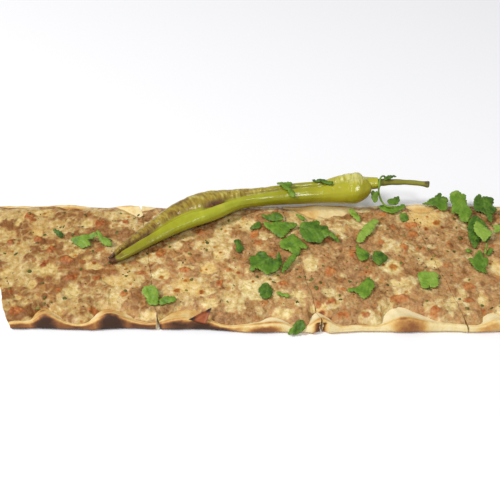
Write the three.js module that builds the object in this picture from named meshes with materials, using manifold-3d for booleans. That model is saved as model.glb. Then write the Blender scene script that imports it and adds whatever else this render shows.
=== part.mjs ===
// Turkish meat flatbread: a long thin flatbread under minced meat, melted cheese and tomato,
// sliced crosswise and still whole, with a grilled long pepper and parsley leaves lying on it.
// Units are millimetres and +Z is up. The origin is under the middle of the bread, on the surface
// that it lies on. X runs along the bread, from its cut left end to its rounded right end.

import * as THREE from 'three';
import { mergeVertices } from 'three/addons/utils/BufferGeometryUtils.js';
import Module from 'manifold-3d';

const wasm = await Module();
wasm.setup();

// The bread. Places are counted from a layout zero on its middle line, and MIDDLE_X and MIDDLE_Y
// are where the middle of the whole lies from there.
const HALF_WIDTH = 56;
const MIDDLE_X = 22.75;
const MIDDLE_Y = 3.975;
const FLOOR = 3.5; // thickness of the dough under the topping
const RIM_HEIGHT = 4.2; // usual height of the rim
const CREST_INSET = 1.8; // how far in from the edge the rim is highest
const CREST_SPREAD = 0.75; // how much farther in it is for each millimetre that it is higher
const INNER_SLOPE = 2.6; // width of the rim's slope down to the dough
const ROUND_START = 186; // where the right end starts to round off
const ROUND_LENGTH = 49;
const ROUND_EDGE = 9; // pieces of tomato stay this far in from the round end
// How much farther the front edge bows out towards the right, and how much of that is gone again at
// the end.
const FRONT_SWELL = { by: 3.6, from: -150, to: 85 };
const FRONT_EBB = { by: 1.8, from: 100, to: 170 };
const STATION_STEP = 5; // length of one facet along the bread
const ROUND_STATIONS = 13;

// The cuts run from the front edge to the back edge. x is where one meets the front edge, slope
// is how far it leans along the bread for each millimetre backwards, and the gaps say how far the
// corners of the piece on its left and of the piece on its right are worn away.
const KERF = 0.5;
const CORNER_REACH = 10;
const CUTS = [
  { x: -150.9, slope: -0.367, frontGap: [0, 1.6], backGap: [0, 3] },
  { x: -57, slope: -0.2, frontGap: [1.4, 1], backGap: [4.5, 1] },
  { x: 44, slope: -0.2, frontGap: [0.5, 0.5], backGap: [2, 2.4] },
  { x: 134.3, slope: -0.2, frontGap: [0.6, 0.6], backGap: [0.8, 0.6] },
];

// Blisters and folds that raise the rim: the place along the bread, half the length, the rise and
// how much wider the slope behind it is.
const FRONT_CRESTS = [
  { x: -146, half: 9, rise: 1.4, slope: 0 },
  { x: -125, half: 8, rise: 5.2, slope: 1 },
  { x: -86, half: 11, rise: 6.2, slope: 1 },
  { x: -36, half: 16, rise: 4.2, slope: 3 },
  { x: 14, half: 13, rise: 2.6, slope: 1 },
  { x: 45, half: 8, rise: 5.4, slope: 1.5 },
  { x: 98, half: 13, rise: 5.9, slope: 5.5 },
  { x: 124, half: 11, rise: 1.2, slope: 0 },
  { x: 154, half: 10, rise: 4.2, slope: 2 },
  { x: 205, half: 13, rise: 3.9, slope: 1 },
];
const BACK_CRESTS = [
  { x: -172, half: 9, rise: 1.9, slope: 0 },
  { x: -128, half: 11, rise: 2.0, slope: 0 },
  { x: -84, half: 13, rise: 2.0, slope: 4 },
  { x: -38, half: 10, rise: 3.2, slope: 1 },
  { x: 55, half: 24, rise: 2.9, slope: 5 },
  { x: 124, half: 12, rise: 3.0, slope: 1 },
  { x: 176, half: 9, rise: 2.1, slope: 0 },
  { x: 212, half: 10, rise: 3.3, slope: 1 },
];

// The topping: its thickness over the dough, its edge and the gap between it and the dough.
const TOPPING = 3.4;
const EDGE_THICKNESS = 0.7;
const EDGE_FALL = 7; // how far in from its edge the topping reaches its full thickness
const LAYER_GAP = 0.35;
const TOUCH_GAP = 0.3; // the least gap where the rim's slope is steeper
const HALF_COLUMNS = 9; // facets across half the width
const LUMP = 1.5; // height of the lumps of minced meat
const LUMP_CELL = 7.5; // and the distance between them

// Pools of melted cheese, smooth between the lumps: place, half length, half width and rise.
const CHEESE_POOLS = [
  [-148, 46, 9, 5, 0], [-115, 34, 5, 6, 0], [-89, 46, 6, 9, 0], [-136, -10, 10, 7, 0.2],
  [-115, -31, 6, 8, 0], [-87, -21, 10, 5, 0], [-87, -36, 4, 7, 0], [-59, -15, 6, 6, 0],
  [-41, -27, 12, 7, 0.3], [-28, -10, 7, 6, 0], [-10, 36, 9, 5, 0], [-25, -41, 6, 6, 0],
  [3, -30, 9, 11, 0.3], [41, -6, 6, 7, 0.3], [-1, 32, 7, 7, 0], [44, 44, 19, 8, 0.4],
  [124, 40, 14, 13, 1.6], [94, -8, 8, 9, 0.4], [163, -11, 6, 9, 0.3], [122, -5, 6, 6, 0],
  [196, 22, 12, 9, 0.4], [188, -33, 9, 7, 0], [216, -6, 8, 10, 0.2],
];

// Pieces of tomato baked into the topping: place, length, width and turn in degrees.
const TOMATO_RISE = 0.9;
const TOMATOES = [
  [-146, -47, 9, 5, 5], [-157, 41, 6, 7, 60], [-146, 17, 5, 5, 20], [-164, 14, 5, 6, 0],
  [-135, 7, 6, 6, 40], [-122, -3, 9, 6, -15], [-117, -19, 8, 5, 20], [-97, -46, 6, 8, 70],
  [-100, -20, 5, 4, 0], [-106, 33, 7, 7, 30], [-60, 4, 6, 11, -20], [-44, -12, 9, 5, 5],
  [-35, 24, 5, 5, 30], [3, 22, 7, 7, 15], [53, -14, 7, 7, 45], [69, 3, 5, 8, -20],
  [21, -24, 6, 6, 30], [51, -40, 7, 5, 0], [114, 31, 9, 5, 0], [113, 22, 8, 6, 10],
  [105, 9, 6, 6, 50], [141, -27, 9, 6, 10], [95, -36, 11, 5, 5], [116, -46, 7, 6, 30],
  [-20, -24, 6, 5, 70], [183, 8, 8, 6, 20], [205, 24, 7, 6, -30], [172, -34, 8, 5, 40],
  [199, -20, 7, 7, 10], [222, 8, 6, 5, 60],
];

// The grilled pepper, from its charred tip to the nub under its stem: place of the middle of each
// ring, half its width, its height, how far its underside is lifted, and the place of the crease
// across it, from -1 front to 1 back.
const PEPPER_REST = 8.9; // height of the pepper's underside
const PEPPER_RINGS = [
  { x: -94, y: -5.4, half: 2.0, height: 3.4, lift: 0, crease: 0 },
  { x: -91, y: -4.4, half: 3.4, height: 3.8, lift: 0, crease: 0 },
  { x: -84, y: 1.4, half: 6.0, height: 5.7, lift: 0.1, crease: 0.05 },
  { x: -68, y: 16.5, half: 9.4, height: 8.4, lift: 0.2, crease: -0.12 },
  { x: -50, y: 31, half: 12.4, height: 11.8, lift: 0.3, crease: -0.18 },
  { x: -30, y: 42.6, half: 13.7, height: 13.0, lift: 0.4, crease: -0.33 },
  { x: -9, y: 51, half: 9.1, height: 11.3, lift: 0.5, crease: -0.26 },
  { x: 12, y: 53.6, half: 7.8, height: 11.5, lift: 0.6, crease: 0 },
  { x: 30, y: 55, half: 8.2, height: 13.0, lift: 0.8, crease: 0.1 },
  { x: 52, y: 56.5, half: 8.7, height: 14.2, lift: 1.0, crease: 0.1 },
  { x: 70, y: 57.2, half: 11.4, height: 18.3, lift: 1.3, crease: 0.1 },
  { x: 79, y: 57, half: 12.0, height: 19.6, lift: 1.5, crease: 0.1 },
  { x: 84, y: 57.2, half: 9.4, height: 16.2, lift: 4.0, crease: 0.1 },
  { x: 86, y: 58.2, half: 4.8, height: 9.4, lift: 9.6, crease: 0.1 },
  { x: 91, y: 58.5, half: 4.0, height: 7.6, lift: 10.8, crease: 0.1 },
];
const CREASE_DEPTH = 2.6;
const PEPPER_STATIONS = 36;
const PEPPER_SIDES = 16;
const STEM_PATH = [
  [91.9, 58.5, 23.5],
  [95, 58.8, 23.9],
  [105, 59.3, 23.7],
  [116, 59.3, 23.2],
  [128, 58.8, 21.9],
];
const STEM_RADII = [3.1, 2.6, 2.1, 1.8, 2.1];
const STEM_SIDES = 8;

// A triangular flake of burnt tomato skin on the front rim, by its three corners.
const FLAKE_CORNERS = [[-38, -55.0, 9.2], [-26.8, -55.8, 8.4], [-23.8, -48.4, 12.8]];
const FLAKE_THICKNESS = 0.9;

// Parsley leaves, by the corners of their outlines: place along and across the bread, and height
// over what the leaf rests on. A leaf that lies on another one has a lift, and one that lies on
// something higher has its own rest. Their names follow this order.
const LEAF_THICKNESS = 0.5;
const LEAF_CLEARANCE = 0.4;
const LEAVES = [
  { outline: [[-123, 15.5, 0.5], [-119, 16.5, 2], [-112.5, 17.5, 3], [-106, 18, 4], [-104, 16, 3.5],
    [-111.5, 14, 2.5], [-108, 10, 1], [-109.5, 9, 0.5], [-114, 7, 0], [-118.5, 11, 0]] },
  { outline: [[-105, 20, 5], [-102.5, 18, 4], [-100.5, 15.5, 2], [-97.5, 15, 1.5], [-96, 13.5, 1],
    [-94, 10, 0.5], [-94.5, 9, 0], [-99, 9.5, 0], [-101.5, 11.5, 1], [-103, 14.5, 2.5]] },
  { outline: [[-137, 25.5, 1], [-132, 23.5, 1], [-129, 20.5, 0], [-131, 18.5, 0], [-134.5, 22, 0]] },
  { outline: [[-69, -32, 0.5], [-67, -29, 1.5], [-62, -29, 2], [-58.5, -33, 1.5], [-58, -38, 0.5],
    [-58, -43, 0], [-63.5, -43, 0], [-65.5, -38, 0]] },
  { outline: [[-57, -39, 0.5], [-53, -37, 1], [-47, -38, 1.5], [-47, -41, 1], [-52, -42, 0.3],
    [-56.5, -43, 0]] },
  { outline: [[-11, 14.5, 0.5], [-9, 15, 1], [-7, 14.5, 1], [-6.5, 10.5, 0.5], [-4.5, 8, 0.5],
    [-5, 5, 0], [-7.5, 3, 0], [-9.5, 4.5, 0], [-9, 9.5, 0.3]] },
  { outline: [[0, -2.5, 0.5], [3.5, -1, 1], [6, 1.5, 2], [10, 0.5, 2.5], [12, -3.5, 2.5],
    [15.5, -5.5, 2], [18, -5.5, 2], [19, 0.5, 2.5], [21, -6, 1.5], [20.5, -10.5, 1],
    [16.5, -15.5, 0.3], [13.5, -16, 0], [11.5, -18, 0], [8.5, -15, 0], [5.5, -13, 0.5],
    [3.5, -13, 1], [2, -15, 0], [0, -14.5, 0], [1, -10.5, 1], [0, -6, 0.5]] },
  { outline: [[29.5, -1.5, 3], [31, -2.5, 3], [30, -6, 2.5], [27, -8.5, 1.5], [25, -12.5, 0.8],
    [22.5, -14.5, 0.3], [21, -16, 0], [21.5, -11, 0.6], [24, -7, 1.6], [26.5, -3.5, 2.4]] },
  { lift: -0.9, outline: [[8, 39, 2], [11.5, 39, 2], [15, 38.5, 2.2], [16, 40, 3], [19, 40, 3.5],
    [22, 38.5, 3.2], [23.5, 35.5, 2], [22.5, 34.5, 1], [17.5, 33.5, 1.2], [12.5, 35, 1],
    [9.5, 37, 1.5]] },
  { outline: [[9.5, 31.5, 1], [14.5, 30, 1.5], [19.5, 31.5, 2], [25.5, 30.5, 2.2], [29.5, 30, 2],
    [33, 29, 1.5], [32, 27, 1], [28, 25, 0.8], [25.5, 21, 0.3], [22, 17, 0], [18.5, 19.5, 0.2],
    [16.5, 21, 0.3], [14, 24, 0.8], [10.5, 27.5, 0.8]] },
  { outline: [[20, 11, 0.5], [21.5, 13.5, 1], [25, 15, 1.5], [28.5, 18, 2], [31.5, 16.5, 2],
    [34.5, 12.5, 1.5], [37, 9.5, 1], [39, 6.5, 0.5], [36.5, 6, 0.3], [33.5, 7, 0.6],
    [34, 3.5, 0], [32.5, 0.5, 0], [29.5, 1, 0.2], [26, 4.5, 0.5], [21.5, 6.5, 0.3]] },
  { lift: -0.5, outline: [[34.5, 25.5, 3], [36.5, 28.5, 4], [41, 28.5, 4.5], [47.5, 30, 4.5],
    [48.5, 28.5, 4], [47.5, 25, 4.5], [53.5, 24.5, 4.5], [53.5, 19, 5.5], [56, 16.5, 6],
    [58.5, 14.5, 4], [61.5, 12, 0.5], [59, 12, 1], [56, 13.5, 3.5], [54, 15, 5], [50.5, 13.5, 3.5],
    [48, 10.5, 2], [44.5, 11, 2.5], [39.5, 11.5, 2], [37.5, 13, 2.5], [35.5, 17, 2.5],
    [34.5, 22.5, 2.5]] },
  { outline: [[32.5, 41.5, 1.5], [34.5, 40.5, 1.5], [39, 37, 0.5], [38.5, 35.5, 0],
    [36.5, 35.5, 0.3], [34, 39, 0.8]] },
  { outline: [[6.5, 32.5, 1], [7.5, 30, 0.5], [7, 27, 0], [4, 26.5, 0], [0, 26.5, 0],
    [2, 29.5, 0.5], [4, 31, 1]] },
  { outline: [[72.5, 46, 1.5], [75.5, 42.5, 1], [77.5, 39, 0.6], [78, 36, 0.3], [77, 33.5, 0],
    [74.5, 36, 0.3], [73, 39, 0.6], [71, 42, 1], [70.5, 44.5, 1.5]] },
  { outline: [[87.5, 34.5, 2], [90.5, 33, 2], [87.5, 29, 1.5], [85, 23, 1.2], [80, 18, 0.8],
    [76.5, 12.5, 0.3], [73.5, 12.5, 0.2], [73.5, 16, 0.4], [77.5, 24, 1], [81.5, 30, 1.5]] },
  { outline: [[73, 10.5, 0.8], [73.5, 7, 0.8], [76.5, 4, 1], [79.5, 2, 0.6], [80, -1, 0.3],
    [77.5, -4, 0], [74, -5.5, 0], [72, -2.5, 0.2], [72, 3.5, 0.5]] },
  { outline: [[84, 3, 1], [88.5, 2, 1], [90.5, 0, 0.8], [92.5, -2, 0.5], [90, -5, 0], [85, -9, 0],
    [82.5, -6, 0.3], [82, -1.5, 0.6]] },
  { outline: [[76.5, -21, 1.5], [79.5, -23.5, 1], [80, -28, 0.6], [77.5, -31.5, 0.3], [76, -35, 0],
    [73.5, -38, 0], [71, -38, 0], [69, -34.5, 0.3], [66.5, -32.5, 0.6], [62.5, -32, 0.2],
    [63, -30, 0.4], [67.5, -29.5, 0.8], [70.5, -27.5, 1], [74, -24, 1.3]] },
  { outline: [[109.5, -17.5, 1], [113.5, -16.5, 1.8], [121, -17.5, 2], [123, -19.5, 1.5],
    [121.5, -21.5, 1], [122, -25, 0.6], [120, -28.5, 0.2], [117, -29, 0], [115.5, -27, 0.6],
    [114, -29.5, 0], [110.5, -29, 0], [110, -24.5, 0.4], [109.5, -21, 0.7]] },
  { outline: [[9, -26, 0.8], [11.5, -25.5, 0.8], [12.5, -28.5, 0.6], [14, -29.5, 0.4],
    [14, -34.5, 0.2], [12, -37.5, 0], [9, -38.5, 0], [7, -36.5, 0.2], [6.5, -33.5, 0.3],
    [5.5, -31, 0.3], [7, -28, 0.6]] },
  { outline: [[17.5, -32.5, 0.6], [20.5, -34, 0.6], [25, -35, 0.3], [24.5, -37.5, 0],
    [22, -36.5, 0], [19, -35, 0.2], [17, -34, 0.4]] },
  { outline: [[92.5, 49, 1], [95.5, 49.5, 1.2], [99.5, 48, 0.6], [103.5, 48, 0.6], [107.5, 49.5, 1],
    [111, 50, 1.5], [110.5, 47, 0.8], [106.5, 44.5, 0.2], [101.5, 42, 0], [96.5, 43.5, 0],
    [93.5, 46, 0.4]] },
  { lift: 1.6, outline: [[105, 54, 4], [107, 54.5, 4.5], [107.5, 53, 3], [107, 51, 1.5],
    [105, 49, 1], [101.5, 48, 1.5], [99, 50, 2], [99.5, 53, 2.5], [103, 53.5, 3]] },
  { lift: -0.6, outline: [[106.5, 40.5, 0.8], [110.5, 41, 1], [112, 37.5, 0.5], [111, 35, 0], [107, 35, 0]] },
  { lift: -0.5, outline: [[124, 51.5, 0.5], [128, 53, 1], [131, 56.5, 1.5], [134, 57.5, 2], [136, 60, 2.5],
    [139, 61.5, 3], [139, 58, 2.5], [142, 57.5, 2], [143.5, 55.5, 1.5], [142, 52.5, 1],
    [141.5, 48, 0.5], [140.5, 45.5, 0], [136.5, 45.5, 0], [133.5, 50, 0.5], [129.5, 51.5, 0.5]] },
  { lift: 2.3, outline: [[145.5, 59, 2], [150.5, 61, 2.5], [153, 57.5, 2.5], [156, 57.5, 2],
    [155, 53, 1.5], [155, 47, 1], [157, 41.5, 0.5], [156.5, 38.5, 0.5], [154.5, 35.5, 0],
    [152, 31.5, -1], [148.5, 32.5, -1], [148, 39.5, -0.5], [145.5, 41, -0.5], [143, 40.5, -0.5],
    [144, 44.5, 0], [145.5, 49, 0.5], [144, 53.5, 1]] },
  { outline: [[163.5, 57, 3], [167, 59, 3.5], [167.5, 56, 3], [175.5, 56, 3], [175.5, 52.5, 2.5],
    [173, 48, 2], [176, 45, 1.5], [174, 42, 1], [171.5, 41.5, 1], [170, 32.5, 0], [168, 34, 0.2],
    [168, 40, 0.6], [164, 43, 1], [160.5, 44, 1], [160.5, 48.5, 2]] },
  { lift: -0.4, outline: [[156.5, 36.5, 1.5], [160.5, 38.5, 2], [162, 34.5, 2], [165, 28.5, 1.5],
    [166, 21, 0.8], [165, 16.5, 0.4], [161.5, 13.5, 0], [158, 17.5, 0.5], [155.5, 11.5, 0.3],
    [152.5, 7, 0], [151.5, 11.5, 0], [151.5, 21.5, 0.5], [152.5, 29, 1]] },
  { lift: 1.8, outline: [[157.5, 28.5, 3], [160, 27.5, 3.5], [162, 22.5, 3.5], [165.5, 17.5, 3],
    [164.5, 15.5, 2.5], [162.5, 14, 2], [159, 10.5, 1], [156.5, 14, 1.8], [154.5, 18, 2.2],
    [154.5, 23.5, 2.5]] },
  { outline: [[154.5, 3, 2.5], [155.5, 0.5, 2], [155.5, -3.5, 1.5], [158, -4, 2], [157.5, -8.5, 1],
    [154.5, -12, 0.5], [155.5, -16, 0], [152, -15, 0], [148.5, -12.5, 0], [147, -8.5, 0.5],
    [146, -3, 1], [149, -4.5, 1.5], [152, 0.5, 2]] },
  { rest: 4.9, outline: [[32.5, -54, 1.4], [34, -57.5, 0.6], [33, -60, -1.5], [30, -60.7, -3.2],
    [28.5, -61.2, -4.7], [24, -61.2, -5.0], [23.5, -60.4, -3.4], [26.5, -58.8, -0.4],
    [27.5, -56.5, 0.8], [30, -54.8, 1.4]] },
  { rest: 22.9, outline: [[19, 58.5, -0.8], [24, 59, -0.2], [30, 58.5, 0], [29.5, 55, 0.4],
    [27.5, 52.5, 0.4], [31.5, 48.5, -0.9], [32, 46, -3], [29.5, 45.5, -3], [26.5, 50, 0.2],
    [22.5, 55, 0]] },
  { outline: [[146, 6, 0.5], [148, 6.5, 0.6], [150, 6, 0.3], [149.5, 4, 0], [146.5, 3.5, 0]] },
  { outline: [[169.5, 28, 1], [174.5, 29, 1.2], [174, 25, 0.8], [171.5, 22.5, 0.2], [169, 23, 0],
    [170.5, 25.5, 0.6]] },
  { outline: [[159.5, 3, 1], [162, 5.5, 1.3], [164, 6.5, 1.2], [163.5, 3.5, 0.6], [160, 0, 0.2],
    [159, 0.5, 0.3]] },
  { rest: 24.1, outline: [[44.5, 61.9, -1.6], [47.3, 60.6, -0.9], [51.7, 62.2, -1.4], [53.6, 58.9, 0.6],
    [59, 55.4, 1.7], [58, 52.8, 1.5], [53.9, 54.6, 0.7], [50.7, 58.2, 0.2], [46.4, 59, -0.4]] },
  { rest: 27.1, outline: [[95, 57.2, -0.5], [97.5, 60.4, -0.1], [101.5, 62.2, -1.2], [105, 62.6, -2.0],
    [102, 59.6, 0], [98.5, 57.4, -0.5]] },
  { rest: 14.6, outline: [[88.9, 50.6, 5.2], [90.1, 50.8, 5.2], [90.7, 49, 2.2], [90.5, 47.4, 0.3],
    [89.3, 46.8, 0], [88.6, 48.2, 2.4]] },
];

// Thin parsley stalks, by the points they run through: one loops over the pepper's stem.
const STALK_RADIUS = 0.7;
const STALK_SIDES = 6;
const STALKS = [
  [[99, 64.2, 21], [96, 62.6, 26.4], [92.8, 58.6, 28.3], [91.4, 53, 25.6], [91.4, 52, 21.5],
    [92.8, 50.4, 16.6], [95.2, 48, 13.2], [98, 46.6, 11.9], [101, 46.2, 11.6]],
  [[160.5, 9.6, 10.6], [160, 7, 10.6], [158.4, 3, 10.6], [157.6, 0.4, 10.4]],
];

const clamp = (value, low, high) => Math.min(high, Math.max(low, value));
const lerp = (a, b, t) => a + (b - a) * t;
const smooth = (t) => clamp(t, 0, 1) ** 2 * (3 - 2 * clamp(t, 0, 1));
const ramp = ({ by, from, to }, x) => by * smooth((x - from) / (to - from));
const wave = (x, length, phase) => Math.sin((2 * Math.PI * x) / length + phase);

// A repeatable number from 0 to 1 for each corner of a lattice.
function latticeValue(i, j, seed) {
  const value = Math.sin(i * 127.1 + j * 311.7 + seed * 74.7) * 43758.5453;
  return value - Math.floor(value);
}

// Smooth random relief from 0 to 1, with lattice corners a cell apart.
function relief(x, y, cell, seed) {
  const i = Math.floor(x / cell);
  const j = Math.floor(y / cell);
  const u = smooth(x / cell - i);
  const v = smooth(y / cell - j);
  const near = lerp(latticeValue(i, j, seed), latticeValue(i + 1, j, seed), u);
  const far = lerp(latticeValue(i, j + 1, seed), latticeValue(i + 1, j + 1, seed), u);
  return lerp(near, far, v);
}

// Collects triangles by their corners and makes one closed, merged geometry of them.
class Surface {
  constructor() {
    this.corners = [];
  }

  triangle(a, b, c) {
    const sides = [a.distanceTo(b), b.distanceTo(c), c.distanceTo(a)];
    if (Math.min(...sides) > 1e-4) this.corners.push(a, b, c);
  }

  strip(rowA, rowB, closed) {
    const count = closed ? rowA.length : rowA.length - 1;
    for (let i = 0; i < count; i += 1) {
      const k = (i + 1) % rowA.length;
      this.triangle(rowA[i], rowB[i], rowB[k]);
      this.triangle(rowA[i], rowB[k], rowA[k]);
    }
  }

  // Fills a loop of points, seen as flat by flatten, with its faces towards outward.
  fill(loop, flatten, outward) {
    const flat = loop.map(flatten);
    for (const [i, j, k] of THREE.ShapeUtils.triangulateShape(flat, [])) {
      const normal = new THREE.Triangle(loop[i], loop[j], loop[k]).getNormal(new THREE.Vector3());
      if (normal.dot(outward) < 0) this.triangle(loop[i], loop[k], loop[j]);
      else this.triangle(loop[i], loop[j], loop[k]);
    }
  }

  geometry() {
    const raw = new THREE.BufferGeometry().setFromPoints(this.corners);
    const merged = mergeVertices(raw, 1e-4);
    merged.computeVertexNormals();
    return merged;
  }
}

const LEFT = new THREE.Vector3(-1, 0, 0);
const RIGHT = new THREE.Vector3(1, 0, 0);
const UP = new THREE.Vector3(0, 0, 1);
const DOWN = new THREE.Vector3(0, 0, -1);
const sideways = (point) => new THREE.Vector2(point.y, point.z);
const fromAbove = (point) => new THREE.Vector2(point.x, point.y);

function toSolid(geometry) {
  const bare = new THREE.BufferGeometry();
  bare.setAttribute('position', geometry.getAttribute('position'));
  if (geometry.index) bare.setIndex(geometry.index);
  const merged = mergeVertices(bare, 1e-4);
  const vertProperties = Float32Array.from(merged.getAttribute('position').array);
  const triVerts = Uint32Array.from(merged.index.array);
  return new wasm.Manifold(new wasm.Mesh({ numProp: 3, vertProperties, triVerts }));
}

function toGeometry(solid) {
  const mesh = solid.getMesh();
  const geometry = new THREE.BufferGeometry();
  geometry.setAttribute('position', new THREE.BufferAttribute(mesh.vertProperties, 3));
  geometry.setIndex(new THREE.BufferAttribute(mesh.triVerts, 1));
  geometry.computeVertexNormals();
  return geometry;
}

// Where a cut runs at a place across the bread. side is -1 for the face of the piece on its left
// and 1 for the face of the piece on its right.
function cutX(cut, y, side) {
  const line = cut.x + cut.slope * (y + HALF_WIDTH);
  const nearEdge = clamp((Math.abs(y) - HALF_WIDTH + CORNER_REACH) / CORNER_REACH, 0, 1);
  const gap = (y < 0 ? cut.frontGap : cut.backGap)[side < 0 ? 0 : 1];
  return line + side * (KERF / 2 + gap * nearEdge ** 2);
}

// How far the bread reaches from its middle line at a place along it.
function reachAt(x, back) {
  if (back) return HALF_WIDTH + 0.7 * wave(x, 137, 2.2) + 0.4 * wave(x, 49, 0.4);
  const swell = ramp(FRONT_SWELL, x) - ramp(FRONT_EBB, x);
  return HALF_WIDTH + swell + 0.7 * wave(x, 137, 0.6) + 0.4 * wave(x, 49, 2.1);
}

function crestHeight(x, crests, phase) {
  let height = RIM_HEIGHT + 0.45 * wave(x, 61, phase) + 0.3 * wave(x, 23, phase * 2);
  for (const crest of crests) height += crest.rise * Math.exp(-(((x - crest.x) / crest.half) ** 2));
  return height;
}

function slopeWidth(x, crests) {
  let width = INNER_SLOPE;
  for (const crest of crests) width += crest.slope * Math.exp(-(((x - crest.x) / crest.half) ** 2));
  return width;
}

// The rim at a place on the edge: the front one, the back one, or between them round the end, by
// how far back the place is.
function rimAt(x, y) {
  const back = smooth((y / HALF_WIDTH + 1) / 2);
  const height = lerp(crestHeight(x, FRONT_CRESTS, 1.2), crestHeight(x, BACK_CRESTS, 4.0), back);
  const rise = Math.max(0, height - RIM_HEIGHT);
  const slope = lerp(slopeWidth(x, FRONT_CRESTS), slopeWidth(x, BACK_CRESTS), back) + rise;
  return { height, inset: CREST_INSET + CREST_SPREAD * rise, slope };
}

// The rim's section from the underside outwards, up and in again: distance in from the edge and
// height.
function rimSection({ height, inset, slope }) {
  return [
    [2.6, 0],
    [0.7, 0.9],
    [0, 2.4],
    [0.4, 0.6 * height],
    [0.5 * inset, height - 0.6],
    [inset, height],
    [inset + 0.42 * slope, FLOOR + 0.42 * (height - FLOOR)],
    [inset + slope, FLOOR],
  ];
}

// How far the topping's edge has slid down from the rim's slope to the flat dough, from 0 to 1.
function edgeSlide(x, back) {
  const wander = 0.45 + 0.28 * wave(x, 31, back ? 1.1 : 3.0) + 0.17 * wave(x, 12.7, back ? 0.2 : 1.9);
  return clamp(wander, 0.05, 0.9);
}

// A station is a place on the edge and the point on the middle line that its section runs to.
// Along the straight part the sections lean with the cuts on both sides of the piece.
function straightStations(leftX, rightX, back) {
  const sign = back ? 1 : -1;
  const middle = (leftX(0) + rightX(0)) / 2;
  const count = Math.ceil((rightX(0) - leftX(0)) / STATION_STEP);
  const edgeY = sign * reachAt(middle, back);
  const stations = [];
  for (let i = 0; i <= count; i += 1) {
    const place = (y) => lerp(leftX(y), rightX(y), i / count);
    const y = sign * reachAt(place(edgeY), back);
    stations.push({
      at: (inset) => new THREE.Vector2(place(y - sign * inset), y - sign * inset),
      toMiddle: Math.abs(y),
      rim: rimAt(place(y), y),
      slide: edgeSlide(place(y), back),
    });
  }
  return stations;
}

// Round the right end the sections turn about one point on the middle line.
function roundStations() {
  const centre = new THREE.Vector2(ROUND_START, 0);
  const frontReach = reachAt(ROUND_START, false);
  const backReach = reachAt(ROUND_START, true);
  const stations = [];
  for (let i = 0; i <= ROUND_STATIONS; i += 1) {
    const angle = lerp(-Math.PI / 2, Math.PI / 2, i / ROUND_STATIONS);
    const across = Math.sign(Math.sin(angle)) * Math.abs(Math.sin(angle)) ** 0.8;
    const along = Math.cos(angle) ** 0.8;
    const reach = lerp(frontReach, backReach, (across + 1) / 2);
    const edge = new THREE.Vector2(ROUND_START + ROUND_LENGTH * along, reach * across);
    const inward = centre.clone().sub(edge);
    const length = inward.length();
    inward.normalize();
    stations.push({
      at: (inset) => edge.clone().addScaledVector(inward, inset),
      toMiddle: length,
      rim: rimAt(edge.x, edge.y),
      slide: edgeSlide(edge.x + edge.y, false),
    });
  }
  return stations;
}

function breadRow(station) {
  return rimSection(station.rim).map(([inset, height]) => {
    const point = station.at(inset);
    return new THREE.Vector3(point.x, point.y, height);
  });
}

// The piece of bread between two cuts, or between the last cut and the rounded end.
function breadPiece(leftX, rightX, rounded) {
  const surface = new Surface();
  const front = straightStations(leftX, rightX, false).map(breadRow);
  const back = straightStations(leftX, rightX, true).map(breadRow);
  const rows = front.map((row, i) => [...row, ...back[i].toReversed()]);
  for (let i = 0; i + 1 < rows.length; i += 1) surface.strip(rows[i], rows[i + 1], true);
  surface.fill(rows[0], sideways, LEFT);
  if (rounded) {
    const end = roundStations().map(breadRow);
    end[0] = front.at(-1);
    end[end.length - 1] = back.at(-1);
    for (let i = 0; i + 1 < end.length; i += 1) surface.strip(end[i], end[i + 1], false);
    surface.fill(end.map((row) => row[0]), fromAbove, DOWN);
    surface.fill(end.map((row) => row.at(-1)), fromAbove, UP);
  } else {
    surface.fill(rows.at(-1), sideways, RIGHT);
  }
  return surface.geometry();
}

// How much of a place is covered by a cheese pool, and how far the pool bulges there.
function cheeseAt(x, y) {
  let cover = 0;
  let bulge = 0;
  for (const [px, py, halfLength, halfWidth, rise] of CHEESE_POOLS) {
    const distance = Math.hypot((x - px) / halfLength, (y - py) / halfWidth);
    const here = 1 - smooth((distance - 0.7) / 0.5);
    cover = Math.max(cover, here);
    bulge = Math.max(bulge, here * rise);
  }
  return { cover, bulge };
}

// The top of the full topping: lumps of meat, and lower and smoother where cheese lies.
function toppingTop(x, y) {
  const lumps = LUMP * relief(x, y, LUMP_CELL, 3) + 0.4 * relief(x, y, LUMP_CELL / 2, 8);
  const { cover, bulge } = cheeseAt(x, y);
  return FLOOR + TOPPING - 0.5 + lerp(lumps, 0.35, cover) + bulge;
}

// The topping's rows at one station: its underside from the flat dough out to its edge, and its
// top from the edge in to the middle line.
function toppingRow(station) {
  const section = rimSection(station.rim);
  const [slopeInset, slopeHeight] = section[6];
  const [floorInset, floorHeight] = section[7];
  const edgeInset = lerp(slopeInset, floorInset, station.slide);
  const edgeHeight = lerp(slopeHeight, floorHeight, station.slide) + LAYER_GAP;
  const point = (inset, height) => {
    const plan = station.at(inset);
    return new THREE.Vector3(plan.x, plan.y, height);
  };
  const under = [point(floorInset, floorHeight + LAYER_GAP), point(edgeInset, edgeHeight)];
  const top = [];
  for (let i = 0; i <= HALF_COLUMNS; i += 1) {
    const inset = lerp(edgeInset, station.toMiddle, i / HALF_COLUMNS);
    const plan = station.at(inset);
    const full = toppingTop(plan.x, plan.y);
    const risen = smooth((inset - edgeInset) / EDGE_FALL);
    const height = lerp(edgeHeight + EDGE_THICKNESS, full, risen);
    top.push(point(inset, height));
  }
  return [...under, ...top];
}

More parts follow.
